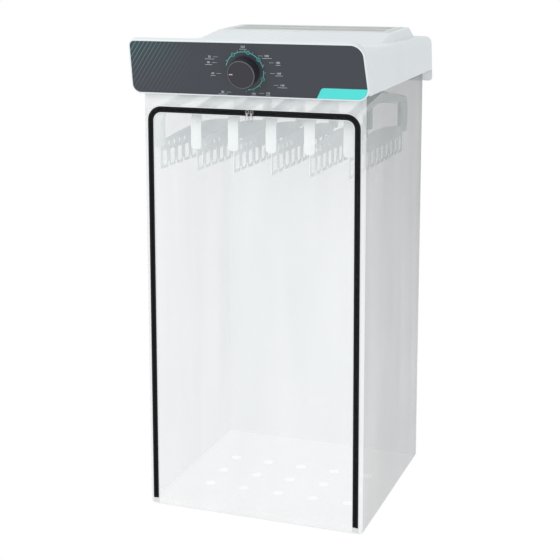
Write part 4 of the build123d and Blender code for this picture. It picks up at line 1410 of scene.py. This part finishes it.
    def hang_flap(self, look):
        """The flap, as a piece of its own."""
        film = milky_film("flap_film", look.film_colour, look.flap_density, swing=0.03)
        bm = self.flap(look)
        if sum(face.normal.y for face in bm.faces) > 0:
            bmesh.ops.reverse_faces(bm, faces=bm.faces[:])
        piece = finish_mesh("film_flap", bm, [film], None, 60, recalc=False)
        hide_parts("bag_flap")
        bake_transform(piece)

    def execute(self, context):
        look = context.scene.dryer_bag
        self.hang_bag(look)
        self.hang_flap(look)
        return {"FINISHED"}


# Zip

# The steps of its path: points round a corner, and the length of a straight step
ZIP_CORNER_STEPS = 12
ZIP_STRAIGHT = 0.03

# The tape and its sewn edge. Widths run outwards and lifts forwards from the film.
TAPE_START = 0.0002
TAPE_FRONT = BAG_FRONT - 0.0010
TAPE_REAR = BAG_FRONT - 0.0001
HEM_LAP = 0.0001
HEM_WIDTH = 0.0016
HEM_LIFT = 0.0002
STITCH_PITCH = 0.0032
STITCH_SIZE = (STITCH_PITCH * 0.72, 0.0004, 0.0006)
STITCH_LIFT = 0.0003
INNER_FOOT_GAP = 0.0004
COIL_FOOT_GAP = 0.001

# One turn of the coil: its size along, forwards and outwards, and its middle
COIL_TURN = (0.00105, 0.0012, 0.0031)
COIL_OUT = 0.00095
COIL_LIFT = 0.0013

# The patch at each end of the zip, and the stitches along its edges and its sides
PATCH_WIDTH = 0.016
PATCH_TOP_GAP = 0.0004
PATCH_ROUNDING = 0.0003
PATCH_THREAD_LIFT = 0.0001
ROW_THREAD = (0.0016, 0.0003, 0.0005)
COLUMN_THREAD = (0.0005, 0.0003, 0.0015)


def zip_path(offset, foot):
    """Points (x, z) along the zip from its left foot over the top to its right foot."""
    slope = (ZIP_HALF_FOOT - ZIP_HALF_TOP) / (ZIP_TOP - ZIP_FOOT)
    radius = ZIP_CORNER + offset
    top = ZIP_TOP + offset
    shoulder = top - radius
    half = ZIP_HALF_TOP + offset
    left = []
    rows = max(2, round((shoulder - foot) / ZIP_STRAIGHT))
    for row in range(rows):
        z = foot + (shoulder - foot) * row / rows
        left.append((-(half + (top - z) * slope), z))
    for step in range(ZIP_CORNER_STEPS + 1):
        angle = math.pi / 2 * step / ZIP_CORNER_STEPS
        flared = (half + (top - shoulder) * slope * (1 - step / ZIP_CORNER_STEPS)) - radius
        left.append((-(flared + radius * math.cos(angle)), shoulder + radius * math.sin(angle)))
    span = abs(left[-1][0])
    columns = max(2, round(2 * span / ZIP_STRAIGHT))
    across = [(-span + 2 * span * column / columns, top) for column in range(1, columns)]
    return left + across + [(-x, z) for x, z in reversed(left)]


def even_points(path, pitch):
    """Places and directions at an even pitch along a path."""
    travelled, target = 0.0, pitch / 2
    for (x0, z0), (x1, z1) in zip(path, path[1:]):
        dx, dz = x1 - x0, z1 - z0
        length = math.hypot(dx, dz)
        while travelled + length >= target:
            share = (target - travelled) / length
            yield x0 + dx * share, z0 + dz * share, dx / length, dz / length
            target += pitch
        travelled += length


def zip_strip(from_offset, to_offset, front, rear, foot):
    """A band along the zip between two offsets, with its thickness along Y."""
    bm = bmesh.new()
    verts = [bm.verts.new((x, rear, z)) for x, z in zip_path(from_offset, foot)]
    edges = [bm.edges.new(pair) for pair in zip(verts, verts[1:])]
    fresh = set(new_verts(bmesh.ops.extrude_edge_only(bm, edges=edges)))
    for vert, (x, z) in zip(verts, zip_path(to_offset, foot)):
        others = (edge.other_vert(vert) for edge in vert.link_edges)
        partner = next(other for other in others if other in fresh)
        partner.co = (x, rear, z)
    thicken(bm, (0, front - rear, 0))
    return bm


def blocks_along(points, size, y, side=1, out_by=0.0):
    """Small blocks set square to a path along the zip, on one side of it."""
    bm = bmesh.new()
    for x, z, dx, dz in points:
        along = Vector((dx, 0, dz))
        out = Vector((-dz, 0, dx)) * side
        place = Matrix.Translation(Vector((x, y, z)) + out * out_by)
        turn = Matrix((along, (0, 1, 0), out)).transposed().to_4x4()
        bmesh.ops.create_cube(bm, size=1.0, matrix=place @ turn @ Matrix.Diagonal((*size, 1)))
    return bm


def zip_coil(side, pitch, foot):
    """Coil turns along one side of the closing line, between those of the other side."""
    first = 0 if side > 0 else 1
    points = list(even_points(zip_path(0.0, foot), pitch / 2))[first::2]
    return blocks_along(points, COIL_TURN, BAG_FRONT - COIL_LIFT, side, COIL_OUT)


def stitches(offset, foot):
    """Short raised stitches along a line beside the zip."""
    points = even_points(zip_path(offset, foot), STITCH_PITCH)
    return blocks_along(points, STITCH_SIZE, TAPE_FRONT - STITCH_LIFT)


class DRYER_OT_zip(bpy.types.Operator):
    """Sews the zip: tapes, coil turns, sewn edges and end patches"""

    bl_idname = "dryer.zip"
    bl_label = "Zip"

    def patches(self):
        """The patches at the zip's two ends, and the stitches round each."""
        cloth, sewn = bmesh.new(), bmesh.new()
        low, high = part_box("zip_end_patches")
        for left, right in ((low.x, low.x + PATCH_WIDTH), (high.x - PATCH_WIDTH, high.x)):
            far = (right, BAG_FRONT, high.z - PATCH_TOP_GAP)
            add_block(cloth, (left, low.y, low.z), far, PATCH_ROUNDING)
            across = [left + 0.002 + 0.0024 * index for index in range(6)]
            up = [low.z + 0.0025 + 0.0022 * index for index in range(4)]
            rows = [(x, z) for z in (low.z + 0.0015, high.z - 0.002) for x in across]
            columns = [(x, z) for x in (left + 0.0012, right - 0.0012) for z in up]
            for places, size in ((rows, ROW_THREAD), (columns, COLUMN_THREAD)):
                for x, z in places:
                    spot = Matrix.Translation((x, low.y - PATCH_THREAD_LIFT, z))
                    thread = spot @ Matrix.Diagonal((*size, 1))
                    bmesh.ops.create_cube(sewn, size=1.0, matrix=thread)
        return cloth, sewn

    def execute(self, context):
        look = context.scene.dryer_bag
        tape = woven("zip_tape", look.zip_colour, 240, 0.5, sheen=0.0, gloss=0.12)
        coil = plastic("zip_coil", look.zip_colour, 0.7, depth=0.02, gloss=0.04)
        thread = woven("sewing_thread", (0.75, 0.77, 0.77), 400, 0.3)
        hem = plastic("film_hem", (0.80, 0.825, 0.83), 0.34, depth=0.05)
        for name, body, side, foot in (
            ("outer", "head", 1, ZIP_FOOT),
            ("inner", "flap", -1, ZIP_FOOT + INNER_FOOT_GAP),
        ):
            bm = zip_strip(side * TAPE_START, side * TAPE_REACH, TAPE_FRONT, TAPE_REAR, foot)
            piece = finish_mesh(f"zip_{name}_tape", bm, [tape], body, 30)
            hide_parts(f"zip_{name}_half")
            bm = zip_coil(side, look.coil_pitch, foot + COIL_FOOT_GAP)
            finish_mesh(f"zip_{name}_coil", bm, [coil], body, 30)
            edge = side * (TAPE_REACH - HEM_LAP)
            front, rear = TAPE_FRONT - HEM_LIFT, TAPE_REAR - HEM_LIFT
            bm = zip_strip(edge, edge + side * HEM_WIDTH, front, rear, foot)
            finish_mesh(f"zip_{name}_hem", bm, [hem], body, 30)
            bm = stitches(side * (TAPE_REACH + HEM_WIDTH / 2), foot)
            finish_mesh(f"zip_{name}_stitches", bm, [thread], body, 30)
        cloth, sewn = self.patches()
        patch = woven("zip_patch", (0.74, 0.76, 0.76), 220, 0.4)
        piece = finish_mesh("zip_end_patch_cloth", cloth, [patch], "head", 30)
        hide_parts("zip_end_patches")
        finish_mesh("zip_end_patch_stitches", sewn, [thread], "head", 30)
        return {"FINISHED"}


# Zip sliders

# The slider's plate: share of its half width, height about the closing line, rounding
SLIDER_OUTLINE = (
    (-1, -0.0025, 0.0012),
    (-0.62, -0.006, 0.0016),
    (0.62, -0.006, 0.0016),
    (1, -0.0025, 0.0012),
    (1, 0.006, 0.002),
    (-1, 0.006, 0.002),
)
SLIDER_REAR = BAG_FRONT - 0.0019
SLIDER_FRONT = SLIDER_REAR - 0.0012
SLIDER_RIM = 0.0009

# Its stem and rear blade, whose upper edge ends just above the closing line
STEM_HALF = 0.0014
BLADE_FRONT = BAG_FRONT + 0.0004
BLADE_REAR = BAG_FRONT + 0.0012
BLADE_DROP = 0.0094
BLADE_RISE = 0.00025
BLADE_ROUNDING = 0.0003

# The bail, a round bar on two feet in front of the plate
BAIL_Y = SLIDER_FRONT - 0.0028
BAIL_RADIUS = 0.0006
BAIL_LENGTH = 0.0068
BAIL_FOOT_X = 0.003
BAIL_FOOT_HALF = 0.0005
BAIL_FOOT_LAP = 0.0004
BAIL_FOOT_ROUNDING = 0.0002

# The pull: a loop that hangs from the bail by its eye. Drops are from the closing line.
PULL_NECK = 0.0017
PULL_HALF = 0.0046
PULL_RIM = 0.0016
PULL_EXTRA = 0.0035
PULL_THICKNESS = 0.001
PULL_TOP_DROP = 0.0012
PULL_NECK_DROP = 0.0042
PULL_SHOULDER_DROP = 0.0115
PULL_ROUNDING = {3: 0.0042, 4: 0.0042, 2: 0.002, 5: 0.002}
WINDOW_HALF_TOP = 0.0007
WINDOW_TOP_DROP = 0.0075
WINDOW_SHOULDER_DROP = 0.0125
WINDOW_ROUNDING = {2: 0.0026, 3: 0.0026, 1: 0.001, 4: 0.001}
EYE_RADIUS = 0.0013
EYE_WIRE = (0.0003, 0.0002)
EYE_STEPS = 20


class DRYER_OT_sliders(bpy.types.Operator):
    """Casts the two zip sliders and their pulls"""

    bl_idname = "dryer.sliders"
    bl_label = "Zip sliders"

    def slider(self, side, cast, enamel):
        """Tapered front plate, stem, rear blade and a round bail."""
        low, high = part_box(f"zip_slider_{side}")
        x = (low.x + high.x) / 2
        half = (high.x - low.x) / 2
        z = ZIP_TOP
        bm = bmesh.new()
        points = [(x + half * share, SLIDER_REAR, z + up) for share, up, _ in SLIDER_OUTLINE]
        rounding = {index: corner[2] for index, corner in enumerate(SLIDER_OUTLINE)}
        rounded_outline(bm, points, rounding, 3)
        thicken(bm, (0, SLIDER_FRONT - SLIDER_REAR, 0))
        heights = {face: face.calc_center_median().y - SLIDER_FRONT for face in bm.faces}
        front = [face for face, height in heights.items() if abs(height) < SAME_PLACE]
        bmesh.ops.inset_region(bm, faces=front, thickness=SLIDER_RIM, depth=0.0)
        for face in front:
            face.material_index = 1
        near = (x - STEM_HALF, SLIDER_REAR, z - BLADE_RISE)
        add_block(bm, near, (x + STEM_HALF, BLADE_REAR, z + BLADE_RISE))
        near = (low.x, BLADE_FRONT, z - BLADE_DROP)
        add_block(bm, near, (high.x, BLADE_REAR, z + BLADE_RISE), BLADE_ROUNDING)
        bar = bmesh.ops.create_cone(
            bm,
            segments=16,
            radius1=BAIL_RADIUS,
            radius2=BAIL_RADIUS,
            depth=BAIL_LENGTH,
            cap_ends=True,
        )
        turn = Matrix.Translation((x, BAIL_Y, z)) @ Matrix.Rotation(math.pi / 2, 4, "Y")
        bmesh.ops.transform(bm, matrix=turn, verts=bar["verts"])
        for end in (-1, 1):
            foot = x + end * BAIL_FOOT_X
            near = (foot - BAIL_FOOT_HALF, BAIL_Y - BAIL_FOOT_LAP, z - BAIL_RADIUS)
            far = (foot + BAIL_FOOT_HALF, SLIDER_FRONT, z + BAIL_RADIUS)
            add_block(bm, near, far, BAIL_FOOT_ROUNDING)
        name, body = f"zip_slider_{side}", f"{side}_slider"
        piece = finish_mesh(f"{name}_cast", bm, [cast, enamel], body, 35)
        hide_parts(name)

    def pull(self, side, cast):
        """Flat open loop, narrow at the top, and an eye round the bail."""
        low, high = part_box(f"zip_pull_{side}")
        x = (low.x + high.x) / 2
        y = (low.y + high.y) / 2
        z = ZIP_TOP
        foot = low.z - PULL_EXTRA
        inner = PULL_HALF - PULL_RIM
        outer_side = (
            (PULL_NECK, z - PULL_TOP_DROP),
            (PULL_NECK, z - PULL_NECK_DROP),
            (PULL_HALF, z - PULL_SHOULDER_DROP),
            (PULL_HALF, foot),
        )
        inner_side = (
            (WINDOW_HALF_TOP, z - WINDOW_TOP_DROP),
            (inner, z - WINDOW_SHOULDER_DROP),
            (inner, foot + PULL_RIM),
        )
        bm = bmesh.new()
        for half, rounding, segments in (
            (outer_side, PULL_ROUNDING, 5),
            (inner_side, WINDOW_ROUNDING, 4),
        ):
            points = [(x - across, y, up) for across, up in half]
            points += [(x + across, y, up) for across, up in reversed(half)]
            rounded_outline(bm, points, rounding, segments)
        fill_outlines(bm)
        bmesh.ops.translate(bm, vec=(0, -PULL_THICKNESS / 2, 0), verts=bm.verts)
        thicken(bm, (0, PULL_THICKNESS, 0))
        eye_x = x - PULL_NECK
        thick, wide = EYE_WIRE
        wire = rectangle(-thick, thick, -wide, wide)
        section = [bm.verts.new((eye_x, y + EYE_RADIUS + a, z + b)) for a, b in wire]
        face = bm.faces.new(section)
        bmesh.ops.spin(
            bm,
            geom=[face, *face.verts, *face.edges],
            cent=(eye_x, y, z),
            axis=(1, 0, 0),
            angle=math.tau,
            steps=EYE_STEPS,
            use_merge=True,
        )
        name = f"zip_pull_{side}"
        piece = finish_mesh(f"{name}_tab", bm, [cast], f"{side}_pull", 35)
        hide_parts(name)

    def execute(self, context):
        cast = metal("nickel_plate", (0.50, 0.50, 0.51), (0.32, 0.32, 0.33), 0.4, 0.26)
        enamel = plastic("slider_enamel", (0.02, 0.02, 0.022), 0.3, depth=0.02, gloss=0.3)
        for side in ("left", "right"):
            self.slider(side, cast, enamel)
            self.pull(side, cast)
        return {"FINISHED"}


# Hangers

HANGERS = 6
HANGER_FIRST_X = -0.26075
HANGER_PITCH = 0.0983
HANGER_MIDDLE_Y = -0.326
HANGER_HALF = 0.254
HANGER_FRONT = HANGER_MIDDLE_Y - HANGER_HALF
HANGER_REAR = HANGER_MIDDLE_Y + HANGER_HALF

# Heights of the arch, and of the crown under its web
ARCH_APEX = -0.064
ARCH_SHOULDER = -0.103
ARCH_FOOT = -0.198
ARCH_CROWN = -0.096

# The rounding of its feet, shoulders and apex
ARCH_FOOT_ROUNDING = 0.009
ARCH_SHOULDER_ROUNDING = 0.030
ARCH_APEX_ROUNDING = 0.02

# The arch's T section, and the web's rounding by corner
ARCH_WIDTH = 0.0274
ARCH_FLANGE = 0.004
ARCH_DEPTH = 0.017
WEB_OUTER = 0.0032
WEB_THICKNESS = 0.003
WEB_ROUNDING = {1: 0.028, 3: 0.028, 6: 0.018, 8: 0.018, 2: 0.01, 7: 0.01}

# The runner that rides on the rail's lips, and the neck that carries the arch.
# Both are given as half width, foot, top and rounding.
RUNNER_HALF_X = 0.01
LIP_TOP = RAIL_FOOT + 0.0025
NECK = (0.0035, ARCH_APEX - 0.006, LIP_TOP + 0.0023, 0.0006)
RUNNER = (0.0085, LIP_TOP + 0.0003, LIP_TOP + 0.0053, 0.0008)

# The comb, in heights and in widths along Y
COMB_FOOT = -0.253
COMB_THICKNESS = 0.0018
COMB_SIDE_TOP = -0.182
COMB_RISE = 0.018
COMB_CREST_STEPS = 20
COMB_SLOTS = 11
SLOT_LOW = -0.247
SLOT_TOP = -0.209
SLOT_ROUNDING = {0: 0.010, 1: 0.010, 2: 0.003, 3: 0.003}
SCALLOP_FOOT = 0.0065
SCALLOP_CREST = 0.0032
SCALLOP_RISE = 0.013
SCALLOP_ROUNDING = 0.0028
COMB_END_ROUNDING = 0.003
COMB_HOLES = 4
HOLE_FIRST = 0.034
HOLE_PITCH = 0.032
HOLE_HALF = 0.005
HOLE_LOW = -0.1985
HOLE_TOP = -0.1875
HOLE_ROUNDING = dict.fromkeys(range(4), 0.0048)


def arch_corners(inset):
    """The arch's five corners in (y, z), moved inwards."""
    slope = math.atan2(ARCH_APEX - ARCH_SHOULDER, HANGER_HALF)
    drop = inset / math.cos(slope)
    shoulder = ARCH_SHOULDER - drop + inset * math.tan(slope)
    return [
        (HANGER_FRONT + inset, ARCH_FOOT),
        (HANGER_FRONT + inset, shoulder),
        (HANGER_MIDDLE_Y, ARCH_APEX - drop),
        (HANGER_REAR - inset, shoulder),
        (HANGER_REAR - inset, ARCH_FOOT),
    ]


def edges_at(bm, z):
    """The edges that lie level at one height."""
    return [edge for edge in bm.edges if all(abs(vert.co.z - z) < NEAR for vert in edge.verts)]


class DRYER_OT_hangers(bpy.types.Operator):
    """Moulds the six hangers: T-section arches with runners, and slotted combs"""

    bl_idname = "dryer.hangers"
    bl_label = "Comb hangers"

    def flange(self, rounding):
        """The arch's bent strip, with rounded feet, shoulders and crown."""
        bm = bmesh.new()
        verts = [bm.verts.new((-ARCH_WIDTH / 2, y, z)) for y, z in arch_corners(0)]
        edges = [bm.edges.new(pair) for pair in zip(verts, verts[1:])]
        made = bmesh.ops.extrude_edge_only(bm, edges=edges)
        bmesh.ops.translate(bm, vec=(ARCH_WIDTH, 0, 0), verts=new_verts(made))
        feet = [vert for vert in bm.verts if vert.co.z < ARCH_FOOT + NEAR]
        bevel(bm, feet, ARCH_FOOT_ROUNDING, 5, "VERTICES")
        bevel(bm, edges_at(bm, ARCH_SHOULDER), ARCH_SHOULDER_ROUNDING, 10)
        bevel(bm, edges_at(bm, ARCH_APEX), ARCH_APEX_ROUNDING, 3)
        bmesh.ops.recalc_face_normals(bm, faces=bm.faces)
        if sum(face.normal.z * face.calc_area() for face in bm.faces) < 0:
            bmesh.ops.reverse_faces(bm, faces=bm.faces)
        bmesh.ops.solidify(bm, geom=bm.faces[:], thickness=ARCH_FLANGE)
        bmesh.ops.recalc_face_normals(bm, faces=bm.faces)
        rims = [
            edge for edge in bm.edges if len(edge.link_faces) == 2 and edge.calc_face_angle() > 1.0
        ]
        bevel(bm, rims, rounding, 2, clamp_overlap=True)
        return bm

    def web(self):
        """The arch's upright web."""
        bm = bmesh.new()
        outer, inner = arch_corners(WEB_OUTER), arch_corners(ARCH_DEPTH)
        inner[2] = (HANGER_MIDDLE_Y, ARCH_CROWN)
        points = [(-WEB_THICKNESS / 2, y, z) for y, z in outer + inner[::-1]]
        rounded_outline(bm, points, WEB_ROUNDING, 8)
        thicken(bm, (WEB_THICKNESS, 0, 0))
        bmesh.ops.recalc_face_normals(bm, faces=bm.faces)
        return bm

    def arch(self, rounding):
        """One arch about x = 0, with its runner."""
        bm = self.flange(rounding)
        add_part(bm, self.web())
        for half, low, high, edge in (NECK, RUNNER):
            near = (-RUNNER_HALF_X, HANGER_MIDDLE_Y - half, low)
            add_block(bm, near, (RUNNER_HALF_X, HANGER_MIDDLE_Y + half, high), edge)
        return bm

    def comb(self, slot_width):
        """One comb about x = 0."""
        front, rear = HANGER_FRONT + ARCH_DEPTH, HANGER_REAR - ARCH_DEPTH
        lower_front, lower_rear = HANGER_FRONT + ARCH_FLANGE, HANGER_REAR - ARCH_FLANGE
        pitch = (lower_rear - lower_front) / COMB_SLOTS
        outline = []
        for step in range(COMB_CREST_STEPS + 1):
            rise = COMB_RISE * math.sin(math.pi * step / COMB_CREST_STEPS)
            outline.append((front + (rear - front) * step / COMB_CREST_STEPS, COMB_SIDE_TOP + rise))
        outline += [(rear, ARCH_FOOT), (lower_rear, ARCH_FOOT), (lower_rear, COMB_FOOT)]
        rounding = {}
        for place in range(COMB_SLOTS - 1, 0, -1):
            y = lower_front + place * pitch
            crest = COMB_FOOT + SCALLOP_RISE
            corners = range(len(outline), len(outline) + 4)
            rounding.update(dict.fromkeys(corners, SCALLOP_ROUNDING))
            outline += [(y + SCALLOP_FOOT, COMB_FOOT), (y + SCALLOP_CREST, crest)]
            outline += [(y - SCALLOP_CREST, crest), (y - SCALLOP_FOOT, COMB_FOOT)]
        rounding[min(rounding) - 1] = COMB_END_ROUNDING
        rounding[len(outline)] = COMB_END_ROUNDING
        outline += [(lower_front, COMB_FOOT), (lower_front, ARCH_FOOT), (front, ARCH_FOOT)]
        bm = bmesh.new()
        rounded_outline(bm, [(0, y, z) for y, z in outline], rounding, 3)
        half = slot_width / 2
        for place in range(COMB_SLOTS):
            y = lower_front + (place + 0.5) * pitch
            slot = rectangle(y - half, y + half, SLOT_LOW, SLOT_TOP)
            rounded_outline(bm, [(0, a, b) for a, b in slot], SLOT_ROUNDING, 5)
        for place in range(COMB_HOLES):
            y = front + HOLE_FIRST + place * HOLE_PITCH
            hole = rectangle(y - HOLE_HALF, y + HOLE_HALF, HOLE_LOW, HOLE_TOP)
            rounded_outline(bm, [(0, a, b) for a, b in hole], HOLE_ROUNDING, 4)
        fill_outlines(bm)
        bmesh.ops.translate(bm, vec=(-COMB_THICKNESS / 2, 0, 0), verts=bm.verts)
        thicken(bm, (COMB_THICKNESS, 0, 0))
        return bm

    def execute(self, context):
        look = context.scene.dryer_hangers
        white = plastic("hanger_plastic", look.hanger_colour, 0.4, grain=600, depth=0.05)
        for place in range(HANGERS):
            number = place + 1
            arch, comb = self.arch(look.edge_rounding), self.comb(look.slot_width)
            for bm, name, node, recalc in (
                (arch, f"hanger_arch_{number}", f"hanger_frame_{number}", False),
                (comb, f"hanger_teeth_{number}", f"hanger_comb_{number}", True),
            ):
                x = HANGER_FIRST_X + place * HANGER_PITCH
                bmesh.ops.translate(bm, vec=(x, 0, 0), verts=bm.verts)
                body = f"hanger_{number}"
                piece = finish_mesh(name, bm, [white], body, 35, recalc)
                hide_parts(node)
        return {"FINISHED"}


# Stage

FLOOR_SIZE = 30.0

# Distances from the object between which the floor turns from shadowed to plain white
FLOOR_FADE = (1.4, 2.4)

LAMP_AIM = (0.0, -0.35, -0.5)
KEY_LAMP = {"name": "key_lamp", "place": (-1.7, -3.0, 1.25), "size": 1.8}
FILL_LAMP = {"name": "fill_lamp", "place": (2.7, -2.4, -0.3), "size": 2.0}

CAMERA_PLACE = (1.08222, -3.41894, 0.25538)
CAMERA_AZIMUTH = math.radians(19.84)
CAMERA_ELEVATION = math.radians(12.0)
CAMERA_SHIFT = -50.0 / 560.0


def seen_straight(tree):
    """1 for rays that show the background itself, and 0 for those that carry its light."""
    path = tree.nodes.new("ShaderNodeLightPath").outputs
    seen = math_node(tree, "MAXIMUM", path["Is Camera Ray"], path["Is Glossy Ray"])
    return math_node(tree, "MAXIMUM", seen, path["Is Transmission Ray"])


def floor_material():
    """Pale floor that keeps a soft shadow near the object and is plain white further out."""
    material = bpy.data.materials.new("stage_floor")
    material.use_nodes = True
    tree = material.node_tree
    tree.nodes.clear()
    place = tree.nodes.new("ShaderNodeTexCoord").outputs["Object"]
    matt = add_node(tree, "ShaderNodeBsdfDiffuse", {"Color": (0.9, 0.9, 0.9, 1)})
    bright = add_node(tree, "ShaderNodeEmission", {"Color": (1, 1, 1, 1), "Strength": 1.0})
    distance = add_node(tree, "ShaderNodeVectorMath", {0: place}, operation="LENGTH")
    share = map_range(tree, distance.outputs["Value"], *FLOOR_FADE, 0.88, 1.0)
    share = math_node(tree, "MULTIPLY", share, seen_straight(tree), clamp=True)
    shaders = {0: share, 1: matt.outputs[0], 2: bright.outputs[0]}
    mixed = add_node(tree, "ShaderNodeMixShader", shaders)
    add_node(tree, "ShaderNodeOutputMaterial", {"Surface": mixed.outputs[0]})
    return material


class DRYER_OT_stage(bpy.types.Operator):
    """Sets the floor, the soft lamps, the white surround and the camera"""

    bl_idname = "dryer.stage"
    bl_label = "Stage"

    def floor(self, scene, height):
        """A wide level floor under the object."""
        bm = bmesh.new()
        bmesh.ops.create_grid(bm, x_segments=8, y_segments=8, size=FLOOR_SIZE)
        bmesh.ops.translate(bm, vec=(0, 0, height), verts=bm.verts)
        mesh = bpy.data.meshes.new("stage_floor")
        bm.to_mesh(mesh)
        bm.free()
        mesh.materials.append(floor_material())
        floor = bpy.data.objects.new("stage_floor", mesh)
        scene.collection.objects.link(floor)

    def surround(self, scene, room_light):
        """A background that looks white and lights the object a little less."""
        world = bpy.data.worlds.new("white_room")
        scene.world = world
        world.use_nodes = True
        tree = world.node_tree
        tree.nodes.clear()
        level = map_range(tree, seen_straight(tree), 0.0, 1.0, room_light, 1.0)
        light = add_node(tree, "ShaderNodeBackground", {"Color": (1, 1, 1, 1), "Strength": level})
        add_node(tree, "ShaderNodeOutputWorld", {"Surface": light.outputs[0]})

    def lamp(self, scene, power, name, place, size):
        """A square soft lamp, aimed at the bag."""
        data = bpy.data.lights.new(name, "AREA")
        data.shape = "SQUARE"
        data.size = size
        data.energy = power
        lamp = bpy.data.objects.new(name, data)
        lamp.location = place
        way = Vector(LAMP_AIM) - Vector(place)
        lamp.rotation_euler = way.to_track_quat("-Z", "Y").to_euler()
        scene.collection.objects.link(lamp)

    def camera(self, scene, lens):
        """The camera of the main view."""
        data = bpy.data.cameras.new("camera")
        data.lens = lens
        data.sensor_width = 36.0
        data.shift_y = CAMERA_SHIFT
        data.clip_start = 0.05
        data.clip_end = 200.0
        camera = bpy.data.objects.new("camera", data)
        level = math.cos(CAMERA_ELEVATION)
        across, along = math.sin(CAMERA_AZIMUTH), math.cos(CAMERA_AZIMUTH)
        back = Vector((across * level, -along * level, math.sin(CAMERA_ELEVATION)))
        camera.location = CAMERA_PLACE
        camera.rotation_euler = (-back).to_track_quat("-Z", "Y").to_euler()
        scene.collection.objects.link(camera)
        scene.camera = camera

    def execute(self, context):
        scene = context.scene
        look = scene.dryer_stage
        self.floor(scene, BAG_FOOT - look.floor_drop)
        self.surround(scene, look.room_light)
        self.lamp(scene, look.key_power, **KEY_LAMP)
        self.lamp(scene, look.fill_power, **FILL_LAMP)
        self.camera(scene, look.lens)
        scene.view_settings.view_transform = "Standard"
        return {"FINISHED"}


class DRYER_PT_sidebar(bpy.types.Panel):
    """Lists the dryer's pieces"""

    bl_idname = "DRYER_PT_sidebar"
    bl_label = "Clothes dryer"
    bl_space_type = "VIEW_3D"
    bl_region_type = "UI"
    bl_category = "Dryer"

    def draw(self, context):
        for operator in OPERATORS:
            self.layout.operator(operator.bl_idname)


SETTINGS = {
    "dryer_head": DryerHeadSettings,
    "dryer_bag": DryerBagSettings,
    "dryer_hangers": DryerHangerSettings,
    "dryer_stage": DryerStageSettings,
}
OPERATORS = (
    DRYER_OT_head,
    DRYER_OT_workings,
    DRYER_OT_knob,
    DRYER_OT_dial,
    DRYER_OT_bag,
    DRYER_OT_zip,
    DRYER_OT_sliders,
    DRYER_OT_hangers,
    DRYER_OT_stage,
)


def register():
    """Registers the settings, operators and sidebar panel."""
    for name, group in SETTINGS.items():
        bpy.utils.register_class(group)
        setattr(bpy.types.Scene, name, bpy.props.PointerProperty(type=group))
    for item in (*OPERATORS, DRYER_PT_sidebar):
        bpy.utils.register_class(item)


def unregister():
    """Removes what register added."""
    for item in reversed((*OPERATORS, DRYER_PT_sidebar)):
        bpy.utils.unregister_class(item)
    for name, group in reversed(SETTINGS.items()):
        delattr(bpy.types.Scene, name)
        bpy.utils.unregister_class(group)


def main():
    """Registers the add-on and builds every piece."""
    register()
    for operator in OPERATORS:
        group, name = operator.bl_idname.split(".")
        getattr(getattr(bpy.ops, group), name)()


if __name__ == "__main__":
    main()
